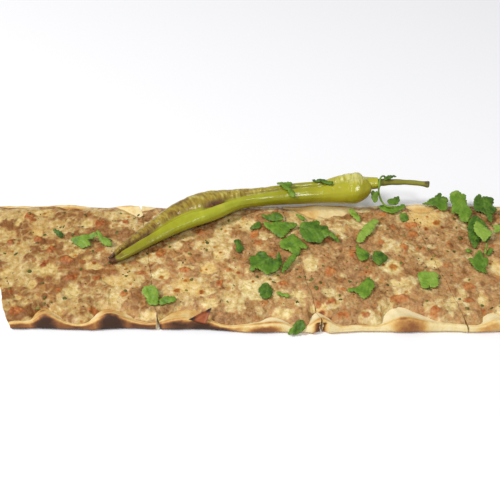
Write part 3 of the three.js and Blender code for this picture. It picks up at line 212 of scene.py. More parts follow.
# Parsley leaves in the order of their nodes: how light one is, and the corners of its outline, each
# a place along and across the bread and a height over what the leaf rests on.
LEAVES = [
    (0.7, [(-123, 15.5, 0.5), (-119, 16.5, 2), (-112.5, 17.5, 3), (-106, 18, 4), (-104, 16, 3.5),
     (-111.5, 14, 2.5), (-108, 10, 1), (-109.5, 9, 0.5), (-114, 7, 0), (-118.5, 11, 0)]),
    (0.7, [(-105, 20, 5), (-102.5, 18, 4), (-100.5, 15.5, 2), (-97.5, 15, 1.5), (-96, 13.5, 1),
     (-94, 10, 0.5), (-94.5, 9, 0), (-99, 9.5, 0), (-101.5, 11.5, 1), (-103, 14.5, 2.5)]),
    (0.1, [(-137, 25.5, 1), (-132, 23.5, 1), (-129, 20.5, 0), (-131, 18.5, 0), (-134.5, 22, 0)]),
    (0.7, [(-69, -32, 0.5), (-67, -29, 1.5), (-62, -29, 2), (-58.5, -33, 1.5), (-58, -38, 0.5),
     (-58, -43, 0), (-63.5, -43, 0), (-65.5, -38, 0)]),
    (0.6, [(-57, -39, 0.5), (-53, -37, 1), (-47, -38, 1.5), (-47, -41, 1), (-52, -42, 0.3),
     (-56.5, -43, 0)]),
    (0.15, [(-11, 14.5, 0.5), (-9, 15, 1), (-7, 14.5, 1), (-6.5, 10.5, 0.5), (-4.5, 8, 0.5),
     (-5, 5, 0), (-7.5, 3, 0), (-9.5, 4.5, 0), (-9, 9.5, 0.3)]),
    (0.3, [(0, -2.5, 0.5), (3.5, -1, 1), (6, 1.5, 2), (10, 0.5, 2.5), (12, -3.5, 2.5),
     (15.5, -5.5, 2), (18, -5.5, 2), (19, 0.5, 2.5), (21, -6, 1.5), (20.5, -10.5, 1),
     (16.5, -15.5, 0.3), (13.5, -16, 0), (11.5, -18, 0), (8.5, -15, 0), (5.5, -13, 0.5),
     (3.5, -13, 1), (2, -15, 0), (0, -14.5, 0), (1, -10.5, 1), (0, -6, 0.5)]),
    (0.35, [(29.5, -1.5, 3), (31, -2.5, 3), (30, -6, 2.5), (27, -8.5, 1.5), (25, -12.5, 0.8),
     (22.5, -14.5, 0.3), (21, -16, 0), (21.5, -11, 0.6), (24, -7, 1.6), (26.5, -3.5, 2.4)]),
    (0.35, [(8, 39, 2), (11.5, 39, 2), (15, 38.5, 2.2), (16, 40, 3), (19, 40, 3.5),
     (22, 38.5, 3.2), (23.5, 35.5, 2), (22.5, 34.5, 1), (17.5, 33.5, 1.2), (12.5, 35, 1),
     (9.5, 37, 1.5)]),
    (0.45, [(9.5, 31.5, 1), (14.5, 30, 1.5), (19.5, 31.5, 2), (25.5, 30.5, 2.2), (29.5, 30, 2),
     (33, 29, 1.5), (32, 27, 1), (28, 25, 0.8), (25.5, 21, 0.3), (22, 17, 0), (18.5, 19.5, 0.2),
     (16.5, 21, 0.3), (14, 24, 0.8), (10.5, 27.5, 0.8)]),
    (0.5, [(20, 11, 0.5), (21.5, 13.5, 1), (25, 15, 1.5), (28.5, 18, 2), (31.5, 16.5, 2),
     (34.5, 12.5, 1.5), (37, 9.5, 1), (39, 6.5, 0.5), (36.5, 6, 0.3), (33.5, 7, 0.6),
     (34, 3.5, 0), (32.5, 0.5, 0), (29.5, 1, 0.2), (26, 4.5, 0.5), (21.5, 6.5, 0.3)]),
    (0.35, [(34.5, 25.5, 3), (36.5, 28.5, 4), (41, 28.5, 4.5), (47.5, 30, 4.5), (48.5, 28.5, 4),
     (47.5, 25, 4.5), (53.5, 24.5, 4.5), (53.5, 19, 5.5), (56, 16.5, 6), (58.5, 14.5, 4),
     (61.5, 12, 0.5), (59, 12, 1), (56, 13.5, 3.5), (54, 15, 5), (50.5, 13.5, 3.5), (48, 10.5, 2),
     (44.5, 11, 2.5), (39.5, 11.5, 2), (37.5, 13, 2.5), (35.5, 17, 2.5), (34.5, 22.5, 2.5)]),
    (0.55, [(32.5, 41.5, 1.5), (34.5, 40.5, 1.5), (39, 37, 0.5), (38.5, 35.5, 0),
     (36.5, 35.5, 0.3), (34, 39, 0.8)]),
    (0.15, [(6.5, 32.5, 1), (7.5, 30, 0.5), (7, 27, 0), (4, 26.5, 0), (0, 26.5, 0),
     (2, 29.5, 0.5), (4, 31, 1)]),
    (0.9, [(72.5, 46, 1.5), (75.5, 42.5, 1), (77.5, 39, 0.6), (78, 36, 0.3), (77, 33.5, 0),
     (74.5, 36, 0.3), (73, 39, 0.6), (71, 42, 1), (70.5, 44.5, 1.5)]),
    (1.0, [(87.5, 34.5, 2), (90.5, 33, 2), (87.5, 29, 1.5), (85, 23, 1.2), (80, 18, 0.8),
     (76.5, 12.5, 0.3), (73.5, 12.5, 0.2), (73.5, 16, 0.4), (77.5, 24, 1), (81.5, 30, 1.5)]),
    (0.5, [(73, 10.5, 0.8), (73.5, 7, 0.8), (76.5, 4, 1), (79.5, 2, 0.6), (80, -1, 0.3),
     (77.5, -4, 0), (74, -5.5, 0), (72, -2.5, 0.2), (72, 3.5, 0.5)]),
    (0.2, [(84, 3, 1), (88.5, 2, 1), (90.5, 0, 0.8), (92.5, -2, 0.5), (90, -5, 0), (85, -9, 0),
     (82.5, -6, 0.3), (82, -1.5, 0.6)]),
    (0.6, [(76.5, -21, 1.5), (79.5, -23.5, 1), (80, -28, 0.6), (77.5, -31.5, 0.3), (76, -35, 0),
     (73.5, -38, 0), (71, -38, 0), (69, -34.5, 0.3), (66.5, -32.5, 0.6), (62.5, -32, 0.2),
     (63, -30, 0.4), (67.5, -29.5, 0.8), (70.5, -27.5, 1), (74, -24, 1.3)]),
    (0.8, [(109.5, -17.5, 1), (113.5, -16.5, 1.8), (121, -17.5, 2), (123, -19.5, 1.5),
     (121.5, -21.5, 1), (122, -25, 0.6), (120, -28.5, 0.2), (117, -29, 0), (115.5, -27, 0.6),
     (114, -29.5, 0), (110.5, -29, 0), (110, -24.5, 0.4), (109.5, -21, 0.7)]),
    (0.2, [(9, -26, 0.8), (11.5, -25.5, 0.8), (12.5, -28.5, 0.6), (14, -29.5, 0.4),
     (14, -34.5, 0.2), (12, -37.5, 0), (9, -38.5, 0), (7, -36.5, 0.2), (6.5, -33.5, 0.3),
     (5.5, -31, 0.3), (7, -28, 0.6)]),
    (0.75, [(17.5, -32.5, 0.6), (20.5, -34, 0.6), (25, -35, 0.3), (24.5, -37.5, 0),
     (22, -36.5, 0), (19, -35, 0.2), (17, -34, 0.4)]),
    (0.6, [(92.5, 49, 1), (95.5, 49.5, 1.2), (99.5, 48, 0.6), (103.5, 48, 0.6), (107.5, 49.5, 1),
     (111, 50, 1.5), (110.5, 47, 0.8), (106.5, 44.5, 0.2), (101.5, 42, 0), (96.5, 43.5, 0),
     (93.5, 46, 0.4)]),
    (0.4, [(105, 54, 4), (107, 54.5, 4.5), (107.5, 53, 3), (107, 51, 1.5), (105, 49, 1),
     (101.5, 48, 1.5), (99, 50, 2), (99.5, 53, 2.5), (103, 53.5, 3)]),
    (0.45, [(106.5, 40.5, 0.8), (110.5, 41, 1), (112, 37.5, 0.5), (111, 35, 0), (107, 35, 0)]),
    (0.4, [(124, 51.5, 0.5), (128, 53, 1), (131, 56.5, 1.5), (134, 57.5, 2), (136, 60, 2.5),
     (139, 61.5, 3), (139, 58, 2.5), (142, 57.5, 2), (143.5, 55.5, 1.5), (142, 52.5, 1),
     (141.5, 48, 0.5), (140.5, 45.5, 0), (136.5, 45.5, 0), (133.5, 50, 0.5), (129.5, 51.5, 0.5)]),
    (0.6, [(145.5, 59, 2), (150.5, 61, 2.5), (153, 57.5, 2.5), (156, 57.5, 2), (155, 53, 1.5),
     (155, 47, 1), (157, 41.5, 0.5), (156.5, 38.5, 0.5), (154.5, 35.5, 0), (152, 31.5, -1),
     (148.5, 32.5, -1), (148, 39.5, -0.5), (145.5, 41, -0.5), (143, 40.5, -0.5), (144, 44.5, 0),
     (145.5, 49, 0.5), (144, 53.5, 1)]),
    (0.15, [(163.5, 57, 3), (167, 59, 3.5), (167.5, 56, 3), (175.5, 56, 3), (175.5, 52.5, 2.5),
     (173, 48, 2), (176, 45, 1.5), (174, 42, 1), (171.5, 41.5, 1), (170, 32.5, 0), (168, 34, 0.2),
     (168, 40, 0.6), (164, 43, 1), (160.5, 44, 1), (160.5, 48.5, 2)]),
    (0.25, [(156.5, 36.5, 1.5), (160.5, 38.5, 2), (162, 34.5, 2), (165, 28.5, 1.5),
     (166, 21, 0.8), (165, 16.5, 0.4), (161.5, 13.5, 0), (158, 17.5, 0.5), (155.5, 11.5, 0.3),
     (152.5, 7, 0), (151.5, 11.5, 0), (151.5, 21.5, 0.5), (152.5, 29, 1)]),
    (0.9, [(157.5, 28.5, 3), (160, 27.5, 3.5), (162, 22.5, 3.5), (165.5, 17.5, 3),
     (164.5, 15.5, 2.5), (162.5, 14, 2), (159, 10.5, 1), (156.5, 14, 1.8), (154.5, 18, 2.2),
     (154.5, 23.5, 2.5)]),
    (0.45, [(154.5, 3, 2.5), (155.5, 0.5, 2), (155.5, -3.5, 1.5), (158, -4, 2), (157.5, -8.5, 1),
     (154.5, -12, 0.5), (155.5, -16, 0), (152, -15, 0), (148.5, -12.5, 0), (147, -8.5, 0.5),
     (146, -3, 1), (149, -4.5, 1.5), (152, 0.5, 2)]),
    (0.3, [(32.5, -54, 1.4), (34, -57.5, 0.6), (33, -60, -1.5), (30, -60.7, -3.2),
     (28.5, -61.2, -4.7), (24, -61.2, -5.0), (23.5, -60.4, -3.4), (26.5, -58.8, -0.4),
     (27.5, -56.5, 0.8), (30, -54.8, 1.4)]),
    (0.5, [(19, 58.5, -0.8), (24, 59, -0.2), (30, 58.5, 0), (29.5, 55, 0.4), (27.5, 52.5, 0.4),
     (31.5, 48.5, -0.9), (32, 46, -3), (29.5, 45.5, -3), (26.5, 50, 0.2), (22.5, 55, 0)]),
    (0.4, [(146, 6, 0.5), (148, 6.5, 0.6), (150, 6, 0.3), (149.5, 4, 0), (146.5, 3.5, 0)]),
    (0.9, [(169.5, 28, 1), (174.5, 29, 1.2), (174, 25, 0.8), (171.5, 22.5, 0.2), (169, 23, 0),
     (170.5, 25.5, 0.6)]),
    (0.4, [(159.5, 3, 1), (162, 5.5, 1.3), (164, 6.5, 1.2), (163.5, 3.5, 0.6), (160, 0, 0.2),
     (159, 0.5, 0.3)]),
    (0.1, [(44.5, 61.9, -1.6), (47.3, 60.6, -0.9), (51.7, 62.2, -1.4), (53.6, 58.9, 0.6),
     (59, 55.4, 1.7), (58, 52.8, 1.5), (53.9, 54.6, 0.7), (50.7, 58.2, 0.2), (46.4, 59, -0.4)]),
    (0.1, [(95, 57.2, -0.5), (97.5, 60.4, -0.1), (101.5, 62.2, -1.2), (105, 62.6, -2.0),
     (102, 59.6, 0), (98.5, 57.4, -0.5)]),
    (0.6, [(86.8, 52.4, 6.4), (88.8, 51.4, 5.6), (90.4, 51.8, 5.8), (90.8, 49, 2.2),
     (90.4, 46.8, 0.3), (88.6, 45.6, 0), (86.8, 47.2, 1.6), (86.2, 49.8, 4)]),
]
LEAF_NODE_THICKNESS = 0.5
LEAF_THICKNESS = 0.35
# A leaf's relief: its folds, how it swells inside its border and between its veins, and the veins.
LEAF_FOLD = 1.7
LEAF_SWELL = 0.3
LEAF_PILLOW = 0.3
VEIN_DEPTH = 0.25
TOOTH_LENGTH = 2.4
TOOTH_STEPS = 6
VEIN_SPACING = 3.3
# Thin stalks of parsley, by the points they run through.
STALKS = [
    [(99, 64.2, 21), (96, 62.6, 26.4), (92.8, 58.6, 28.3), (91.4, 53, 25.6), (91.4, 52, 21.5),
     (92.8, 50.4, 16.6), (95.2, 48, 13.2), (98, 46.6, 11.9), (101, 46.2, 11.6)],
    [(160.5, 9.6, 10.6), (160, 7, 10.6), (158.4, 3, 10.6), (157.6, 0.4, 10.4)],
]
STALK_RADIUS = 0.7

# Herb flecks and dark bits: the shape of one, as rings with their scale and level, and where they
# lie. They stay away from the left end and inside a circle at the round end.
BIT_RINGS = [(0.9, -0.25), (1.0, 0.3), (0.7, 0.75)]
BIT_SIDES = 7
BITS_ALONG = (-175.0, 222.0)
BITS_ACROSS = 46
BITS_OFF_CUT = 3
BITS_ROUND = 38
# How many there are, their sizes, their seed, and how thick one is for its size.
HERBS = (220, (1.2, 3.8), 5, 0.12)
SPECKS = (260, (0.5, 1.3), 9, 0.3)

# How fine the meshes are.
STEP_ALONG = 0.55
HALF_COLUMNS = 96
BREAD_END_STEPS = 170
TOPPING_END_STEPS = 300

# The camera stands in front of the bread and looks 45 degrees down.
CAMERA_BACK = 335.7
CAMERA_HEIGHT = 350.0
CAMERA_TILT = 45.0
CAMERA_LENS = 51.336
CAMERA_SENSOR = 36
CAMERA_CLIP = 0.01
# The floor and the sky, and soft lights: place in metres, diameter and power.
STAGE_SIZE = 6.0
STAGE_COLOR = (246, 246, 248)
SKY_STRENGTH = 0.42
LIGHTS = [
    ("key", (-1.5, -0.3, 1.7), 0.5, 35.0),
    ("fill", (0.25, -0.7, 1.2), 0.35, 5.0),
]


def lerp(a, b, t):
    return a + (b - a) * t


def smooth(t):
    t = np.clip(t, 0.0, 1.0)
    return t * t * (3 - 2 * t)


def onset(x, start, width):
    """Grows smoothly with x from 0 at a start to 1 a width farther on."""
    return smooth((x - start) / width)


def fade(x, start, width):
    """Falls smoothly with x from 1 at a start to 0 a width farther on."""
    return 1 - onset(x, start, width)


def wave(x, length, phase):
    return np.sin(2 * np.pi * x / length + phase)


def bell(x, place, half, power=2):
    """1 at a place, and close to 0 when much farther from it than half."""
    return np.exp(-np.abs((x - place) / half) ** power)


def lattice_value(i, j, seed):
    value = np.sin(i * 127.1 + j * 311.7 + seed * 74.7) * 43758.5453
    return value - np.floor(value)


def relief(x, y, cell, seed):
    """Smooth random relief from 0 to 1, with lattice corners a cell apart."""
    i, j = np.floor(x / cell), np.floor(y / cell)
    u, v = smooth(x / cell - i), smooth(y / cell - j)
    near = lerp(lattice_value(i, j, seed), lattice_value(i + 1, j, seed), u)
    far = lerp(lattice_value(i, j + 1, seed), lattice_value(i + 1, j + 1, seed), u)
    return lerp(near, far, v)


def layered(x, y, cell, seed, layers=3):
    """Relief with finer and weaker relief on it, from 0 to 1."""
    total, weight, sum_of_weights = 0.0, 1.0, 0.0
    for layer in range(layers):
        total = total + weight * relief(x, y, cell / 2 ** layer, seed + layer * 5)
        sum_of_weights += weight
        weight *= 0.55
    return total / sum_of_weights


def uneven(x, y, cell, seed, layers=3):
    """Layered relief round 0, from -0.5 to 0.5."""
    return layered(x, y, cell, seed, layers) - 0.5


def grains(x, y, cell, seed):
    """Scattered grains: the distance to the nearest one in cells, how much farther the second
    nearest is, and a random number that is the same all over a grain."""
    i, j = np.floor(x / cell), np.floor(y / cell)
    nearest = np.full(np.shape(x), 9.0)
    second = np.full(np.shape(x), 9.0)
    number = np.zeros(np.shape(x))
    for di in (-1, 0, 1):
        for dj in (-1, 0, 1):
            gx = i + di + lattice_value(i + di, j + dj, seed)
            gy = j + dj + lattice_value(i + di, j + dj, seed + 1)
            distance = np.hypot(x / cell - gx, y / cell - gy)
            closer = distance < nearest
            second = np.where(closer, nearest, np.minimum(second, distance))
            number = np.where(closer, lattice_value(i + di, j + dj, seed + 2), number)
            nearest = np.where(closer, distance, nearest)
    return nearest, second - nearest, number


def cut_x(cut, y, side):
    """Where a cut runs: side -1 for the piece on its left, 1 for the piece on its right."""
    line = cut["x"] + cut["slope"] * (y + HALF_WIDTH)
    line = line + 0.3 * wave(y, 19, cut["x"]) + 0.16 * wave(y, 6.3, cut["x"] * 2)
    near_edge = np.clip((np.abs(y) - HALF_WIDTH + CORNER_REACH) / CORNER_REACH, 0, 1)
    which = 0 if side < 0 else 1
    gap = np.where(y < 0, cut["front"][which], cut["back"][which])
    return line + side * (KERF / 2 + gap * near_edge ** 3)


def ramp(by, x):
    """Grows with x from 0 to the first of the three numbers, between the other two."""
    return by[0] * onset(x, by[1], by[2] - by[1])


def reach_at(x, back):
    if back:
        return HALF_WIDTH + 0.7 * wave(x, 137, 2.2) + 0.4 * wave(x, 49, 0.4)
    swell = ramp(FRONT_SWELL, x) - ramp(FRONT_EBB, x)
    return HALF_WIDTH + swell + 0.7 * wave(x, 137, 0.6) + 0.4 * wave(x, 49, 2.1)


def crest_height(x, crests, phase):
    height = RIM_HEIGHT + 0.45 * wave(x, 61, phase) + 0.3 * wave(x, 23, phase * 2)
    for place, half, rise, _ in crests:
        height = height + rise * bell(x, place, half)
    return height


def slope_width(x, crests):
    width = INNER_SLOPE
    for place, half, _, slope in crests:
        width = width + slope * bell(x, place, half)
    return width


def back_share(y):
    return smooth((y / HALF_WIDTH + 1) / 2)


class Rim:
    """The rim at places on the edge: its height, how far in it is highest, and its inner slope."""

    def __init__(self, x, y):
        heights = crest_height(x, FRONT_CRESTS, 1.2), crest_height(x, BACK_CRESTS, 4.0)
        slopes = slope_width(x, FRONT_CRESTS), slope_width(x, BACK_CRESTS)
        self.height = lerp(*heights, back_share(y))
        self.rise = np.maximum(0, self.height - RIM_HEIGHT)
        self.inset = CREST_INSET + CREST_SPREAD * self.rise
        self.slope = lerp(*slopes, back_share(y)) + self.rise


def burnt_at(x, y):
    """How burnt the rim is at a place along the edge, and how far up its section that reaches."""
    back = back_share(y)
    dark, reach, weights = 0.0, 0.0, 1e-6
    for burns, share in ((FRONT_BURNS, 1 - back), (BACK_BURNS, back)):
        for place, half, strength, top in burns:
            here = share * strength * bell(x, place, half, 3)
            dark = np.maximum(dark, here)
            reach, weights = reach + here * top, weights + here
    return dark, reach / weights


def edge_slide(x, back):
    """How far down the rim's slope the topping's edge lies, wandering round 0.45."""
    phase, fine_phase = (1.1, 0.2) if back else (3.0, 1.9)
    return np.clip(0.45 + 0.28 * wave(x, 31, phase) + 0.17 * wave(x, 12.7, fine_phase), 0.05, 0.9)


def rim_section(rim):
    """The rim's section from the underside out, up and in: distance in from the edge, height."""
    height, inset, slope = rim.height, rim.inset, rim.slope
    zero = np.zeros_like(height)
    insets = [zero + 2.6, zero + 0.7, zero, zero + 0.4, 0.5 * inset, inset,
              inset + 0.42 * slope, inset + slope]
    heights = [zero, zero + 0.9, zero + 2.4, 0.6 * height, height - 0.6, height,
               FLOOR + 0.42 * (height - FLOOR), zero + FLOOR]
    return np.stack(insets, -1), np.stack(heights, -1)


def curve(values, spots):
    """Smooth curves through the rows of values, at spots counted in rows."""
    last = len(values) - 1
    i = np.minimum(np.floor(spots).astype(int), last - 1)
    u = (spots - i)[:, None]
    a, b = values[np.maximum(i - 1, 0)], values[i]
    c, d = values[i + 1], values[np.minimum(i + 2, last)]
    bend = (2 * a - 5 * b + 4 * c - d) * u ** 2 + (3 * b - a - 3 * c + d) * u ** 3
    return 0.5 * (2 * b + (c - a) * u + bend)


class Stations:
    """A row of places along the bread's edge, each with the line that its section follows."""

    def __init__(self, edge_x, edge_y, at, to_middle, slide):
        self.x, self.y, self.at, self.to_middle, self.slide = edge_x, edge_y, at, to_middle, slide
        self.rim = Rim(edge_x, edge_y)
        self.burnt, self.burnt_top = burnt_at(edge_x, edge_y)


def straight_stations(left, right, back, count):
    sign = 1 if back else -1
    share = np.linspace(0, 1, count + 1)
    middle = (left(0.0) + right(0.0)) / 2
    edge = sign * reach_at(middle, back)
    y = sign * reach_at(lerp(left(edge), right(edge), share), back)
    x = lerp(left(y), right(y), share)

    def at(inset):
        across = y[:, None] - sign * inset
        return lerp(left(across), right(across), share[:, None]), across

    return Stations(x, y, at, np.abs(y), edge_slide(x, back))


def both_sides(left, right):
    """A slice's stations along its front edge and along its back edge."""
    count = max(8, round((right(0.0) - left(0.0)) / STEP_ALONG))
    return [straight_stations(left, right, back, count) for back in (False, True)]


def round_stations(count):
    angle = np.linspace(-np.pi / 2, np.pi / 2, count + 1)
    across = np.sign(np.sin(angle)) * np.abs(np.sin(angle)) ** ROUND_POWER
    along = np.maximum(np.cos(angle), 0) ** ROUND_POWER
    reach = lerp(reach_at(ROUND_START, False), reach_at(ROUND_START, True), (across + 1) / 2)
    x, y = ROUND_START + ROUND_LENGTH * along, reach * across
    length = np.hypot(ROUND_START - x, y)
    in_x, in_y = (ROUND_START - x) / length, -y / length

    def at(inset):
        return x[:, None] + in_x[:, None] * inset, y[:, None] + in_y[:, None] * inset

    return Stations(x, y, at, length, edge_slide(x + y, False))


def strip_faces(grid, closed=False):
    """Quads between the rows of a grid of point numbers, each row joined round if closed."""
    if closed:
        grid = np.concatenate([grid, grid[:, :1]], 1)
    a, b = grid[:-1, :-1], grid[1:, :-1]
    c, d = grid[1:, 1:], grid[:-1, 1:]
    return np.stack([a, b, c, d], -1).reshape(-1, 4)


def clean_faces(quads):
    """Splits off the quads that have two corners in one point, as triangles."""
    following = np.roll(quads, -1, 1)
    same = quads == following
    whole = quads[~same.any(1)]
    folded = quads[same.sum(1) == 1]
    keep = ~(folded == np.roll(folded, -1, 1))
    triangles = folded[keep].reshape(-1, 3)
    return [f for f in (whole, triangles) if len(f)]


class Growing:
    """The points and faces of a piece while it is built. A point has its place and its fields."""

    def __init__(self):
        self.points, self.faces, self.count = [], [], 0

    def add(self, points):
        """Adds an array of points and returns their numbers in an array of the same shape."""
        numbers = self.count + np.arange(points[..., 0].size).reshape(points.shape[:-1])
        self.points.append(points.reshape(-1, points.shape[-1]))
        self.count += numbers.size
        return numbers

    def cover(self, grid, closed=False, flip=False):
        quads = strip_faces(grid, closed)
        self.faces.extend(clean_faces(quads[:, ::-1] if flip else quads))

    def fill(self, loop):
        """Closes a loop of point numbers with one face."""
        self.faces.append(loop[None])

    def piece(self, name, field_names, material, slot, *nodes):
        points = np.concatenate(self.points)
        fields = dict(zip(field_names, points[:, 3:].T))
        return make_piece(name, points[:, :3], self.faces, material, fields, nodes)


def make_piece(name, points, faces, material, fields, nodes):
    """A smooth mesh from points in millimetres and lists of faces with like numbers of corners."""
    mesh = bpy.data.meshes.new(name)
    places = (np.asarray(points, float) - [MIDDLE_X, MIDDLE_Y, 0]) * MM
    faces = [np.asarray(f, np.int32) for f in faces]
    sizes = np.concatenate([np.full(len(f), f.shape[1], np.int32) for f in faces])
    corners = np.concatenate([f.ravel() for f in faces])
    mesh.vertices.add(len(places))
    mesh.vertices.foreach_set("co", places.astype(np.float32).ravel())
    mesh.loops.add(len(corners))
    mesh.loops.foreach_set("vertex_index", corners)
    mesh.polygons.add(len(sizes))
    starts = np.concatenate([[0], np.cumsum(sizes)[:-1]])
    mesh.polygons.foreach_set("loop_start", starts.astype(np.int32))
    mesh.polygons.foreach_set("use_smooth", np.ones(len(sizes), bool))
    mesh.update(calc_edges=True)
    for key, values in fields.items():
        attribute = mesh.attributes.new(key, "FLOAT", "POINT")
        attribute.data.foreach_set("value", np.asarray(values, np.float32).ravel())
    mesh.materials.append(material)
    piece = bpy.data.objects.new(name, mesh)
    bpy.context.scene.collection.objects.link(piece)
    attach(piece, "root")
    if nodes:
        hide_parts(*nodes)
    return piece


def linear(color):
    """A colour given as sRGB from 0 to 255, as Blender's linear values."""
    parts = [c / 255 for c in color]
    return [c / 12.92 if c <= 0.04045 else ((c + 0.055) / 1.055) ** 2.4 for c in parts] + [1.0]


class Shader:
    """A material and short calls that add its nodes."""

    def __init__(self, name, roughness, specular):
        self.material = bpy.data.materials.new(name)
        self.material.use_nodes = True
        self.tree = self.material.node_tree
        self.surface = self.tree.nodes["Principled BSDF"]
        self.surface.inputs["Roughness"].default_value = roughness
        self.surface.inputs["Specular IOR Level"].default_value = specular
        self.place = self.tree.nodes.new("ShaderNodeTexCoord").outputs["Object"]

    def join(self, source, target):
        if isinstance(source, (int, float, tuple, list)):
            target.default_value = source
        else:
            self.tree.links.new(source, target)

    def add(self, kind, inputs):
        """A new node with its inputs set or joined."""
        node = self.tree.nodes.new("ShaderNode" + kind)
        for key, source in inputs.items():
            self.join(source, node.inputs[key])
        return node

    def field(self, name):
        node = self.add("Attribute", {})
        node.attribute_name = name
        return node.outputs["Fac"]

    def noise_in(self, vector, scale, detail):
        node = self.add("TexNoise", {"Vector": vector, "Scale": scale, "Detail": detail})
        return node.outputs["Fac"]

    def noise(self, size, detail, stretch=(1, 1, 1)):
        """Noise with features of about size millimetres."""
        mapping = self.add("Mapping", {"Vector": self.place, "Scale": stretch})
        return self.noise_in(mapping.outputs["Vector"], 1 / (size * MM), detail)

    def fibers(self, names, sizes, detail):
        """Noise in the mesh's own fields, with a size for each field."""
        parts = [self.times(self.field(name), 1 / size) for name, size in zip(names, sizes)]
        return self.noise_in(self.add("CombineXYZ", dict(enumerate(parts))).outputs[0], 1.0, detail)

    def math(self, operation, a, b):
        node = self.add("Math", {0: a, 1: b})
        node.operation = operation
        return node.outputs["Value"]

    def times(self, a, b):
        return self.math("MULTIPLY", a, b)

    def plus(self, first, *others):
        for other in others:
            first = self.math("ADD", first, other)
        return first

    def mottle(self, size, detail, depth):
        """Noise round 0, depth from its lowest to its highest."""
        return self.times(self.math("SUBTRACT", self.noise(size, detail), 0.5), depth)

    def ramp(self, value, stops):
        """Colours along a value: stops are (place, sRGB colour)."""
        node = self.add("ValToRGB", {"Fac": value})
        elements = node.color_ramp.elements
        while len(elements) < len(stops):
            elements.new(0.5)
        for element, (place, color) in zip(elements, stops):
            element.position = place
            element.color = linear(color)
        return node.outputs["Color"]

    def step(self, value, low, high):
        """0 below low, 1 above high."""
        node = self.add("MapRange", {"Value": value, "From Min": low, "From Max": high})
        node.interpolation_type = "SMOOTHSTEP"
        return node.outputs["Result"]

    def mix(self, share, a, b, blend="MIX"):
        """Mixes a colour with a second one, which may be given as sRGB."""
        node = self.add("Mix", {"Factor": share})
        node.data_type = "RGBA"
        node.blend_type = blend
        self.join(a, node.inputs["A"])
        self.join(linear(b) if isinstance(b, tuple) else b, node.inputs["B"])
        return node.outputs["Result"]

    def lay(self, base, color, cover, amount):
        """Lays a colour over a base, by an amount of how much a value covers it."""
        return self.mix(self.times(cover, amount), base, color)

    def mix_value(self, share, a, b):
        return self.add("Mix", {"Factor": share, "A": a, "B": b}).outputs["Result"]

    def bump(self, height, depth, strength, normal=None):
        """A bump of depth millimetres, on top of another one if it is given."""
        inputs = {"Distance": depth * MM, "Strength": strength, "Height": height}
        if normal is not None:
            inputs["Normal"] = normal
        return self.add("Bump", inputs).outputs["Normal"]

    def finish(self, color, normal=None, roughness=None):
        inputs = {"Base Color": color, "Normal": normal, "Roughness": roughness}
        for key, source in inputs.items():
            if source is not None:
                self.join(source, self.surface.inputs[key])
        return self.material


def dough_material():
    """Baked dough: cream, golden where it stands up, brown to black where it is burnt, and darker
    where painted shade lies on its face, along its foot and in its hollow.
    """
    s = Shader("baked_dough", 0.68, 0.3)
    toast_and_painted_shade = s.plus(s.field("toast_and_painted_shade"), s.mottle(5, 4, 0.3), s.mottle(1.1, 3, 0.14))
    color = s.ramp(toast_and_painted_shade, [
        (0.0, (240, 225, 182)), (0.13, (233, 213, 158)), (0.28, (219, 182, 112)),
        (0.42, (194, 142, 76)), (0.58, (150, 96, 52)), (0.76, (104, 66, 40)), (0.96, (64, 40, 26)),
    ])
    bump = s.bump(s.noise(1.6, 5), 0.3, 0.6)
    bump = s.bump(s.noise(0.5, 3), 0.1, 0.5, bump)
    return s.finish(color, bump)


def topping_material():
    """Minced meat, melted cheese and tomato, told apart by the fields of the mesh."""
    s = Shader("meat_topping", 0.5, 0.3)
    speckle = s.mottle(1.1, 3, s.mix_value(s.field("warm"), 1.05, 0.6))
    meat = s.ramp(s.plus(s.field("grain"), speckle, s.mottle(7, 3, 1.5)), [
        (0.0, (114, 74, 34)), (0.28, (152, 108, 60)), (0.52, (176, 136, 86)),
        (0.78, (190, 154, 102)), (1.0, (206, 176, 124)),
    ])
    meat = s.lay(meat, (190, 142, 98), s.step(s.noise(16, 3), 0.45, 0.62), 0.35)
    orange = s.times(s.field("oil"), s.step(s.noise(3.5, 3), 0.4, 0.6))
    meat = s.lay(meat, (176, 108, 48), orange, 0.65)
    meat = s.lay(meat, (138, 84, 34), s.field("warm"), 0.62)
    # The gaps between grains and the seams between lumps are darkened: painted shade.
    meat = s.lay(meat, (102, 62, 26), s.field("gap"), 0.5)
    cheese = s.ramp(s.noise(3.6, 5), [
        (0.3, (184, 150, 84)), (0.43, (210, 186, 122)), (0.54, (228, 208, 148)),
        (0.66, (244, 229, 180)),
    ])
    cheese = s.lay(cheese, (220, 178, 100), s.field("gold"), 0.7)
    color = s.mix(s.field("cheese"), meat, cheese)
    fringe = s.times(s.field("fringe"), s.step(s.noise(3.2, 3), 0.45, 0.58))
    color = s.lay(color, (176, 112, 52), fringe, 0.55)
    tomato = s.ramp(s.noise(2.4, 4), [
        (0.3, (146, 70, 24)), (0.5, (184, 104, 44)), (0.7, (210, 146, 78)),
    ])
    color = s.lay(color, tomato, s.field("tomato"), 0.85)
    color = s.lay(color, (112, 76, 36), s.step(s.noise(1.5, 2), 0.62, 0.7), 0.35)
    brown = s.ramp(s.field("brown"), [
        (0.0, (255, 255, 255)), (0.45, (226, 176, 118)), (0.8, (172, 108, 62)),
        (1.0, (112, 70, 44)),
    ])
    color = s.mix(1.0, color, brown, "MULTIPLY")
    tint = s.ramp(s.field("warm"), [(0.0, (255, 254, 252)), (1.0, (236, 227, 209))])
    color = s.mix(1.0, color, tint, "MULTIPLY")
    bump = s.bump(s.noise(4.2, 3), 2.2, 0.8)
    bump = s.bump(s.noise(1.1, 5), 0.35, 0.8, bump)
    return s.finish(color, bump, s.mix_value(s.field("cheese"), 0.5, 0.36))


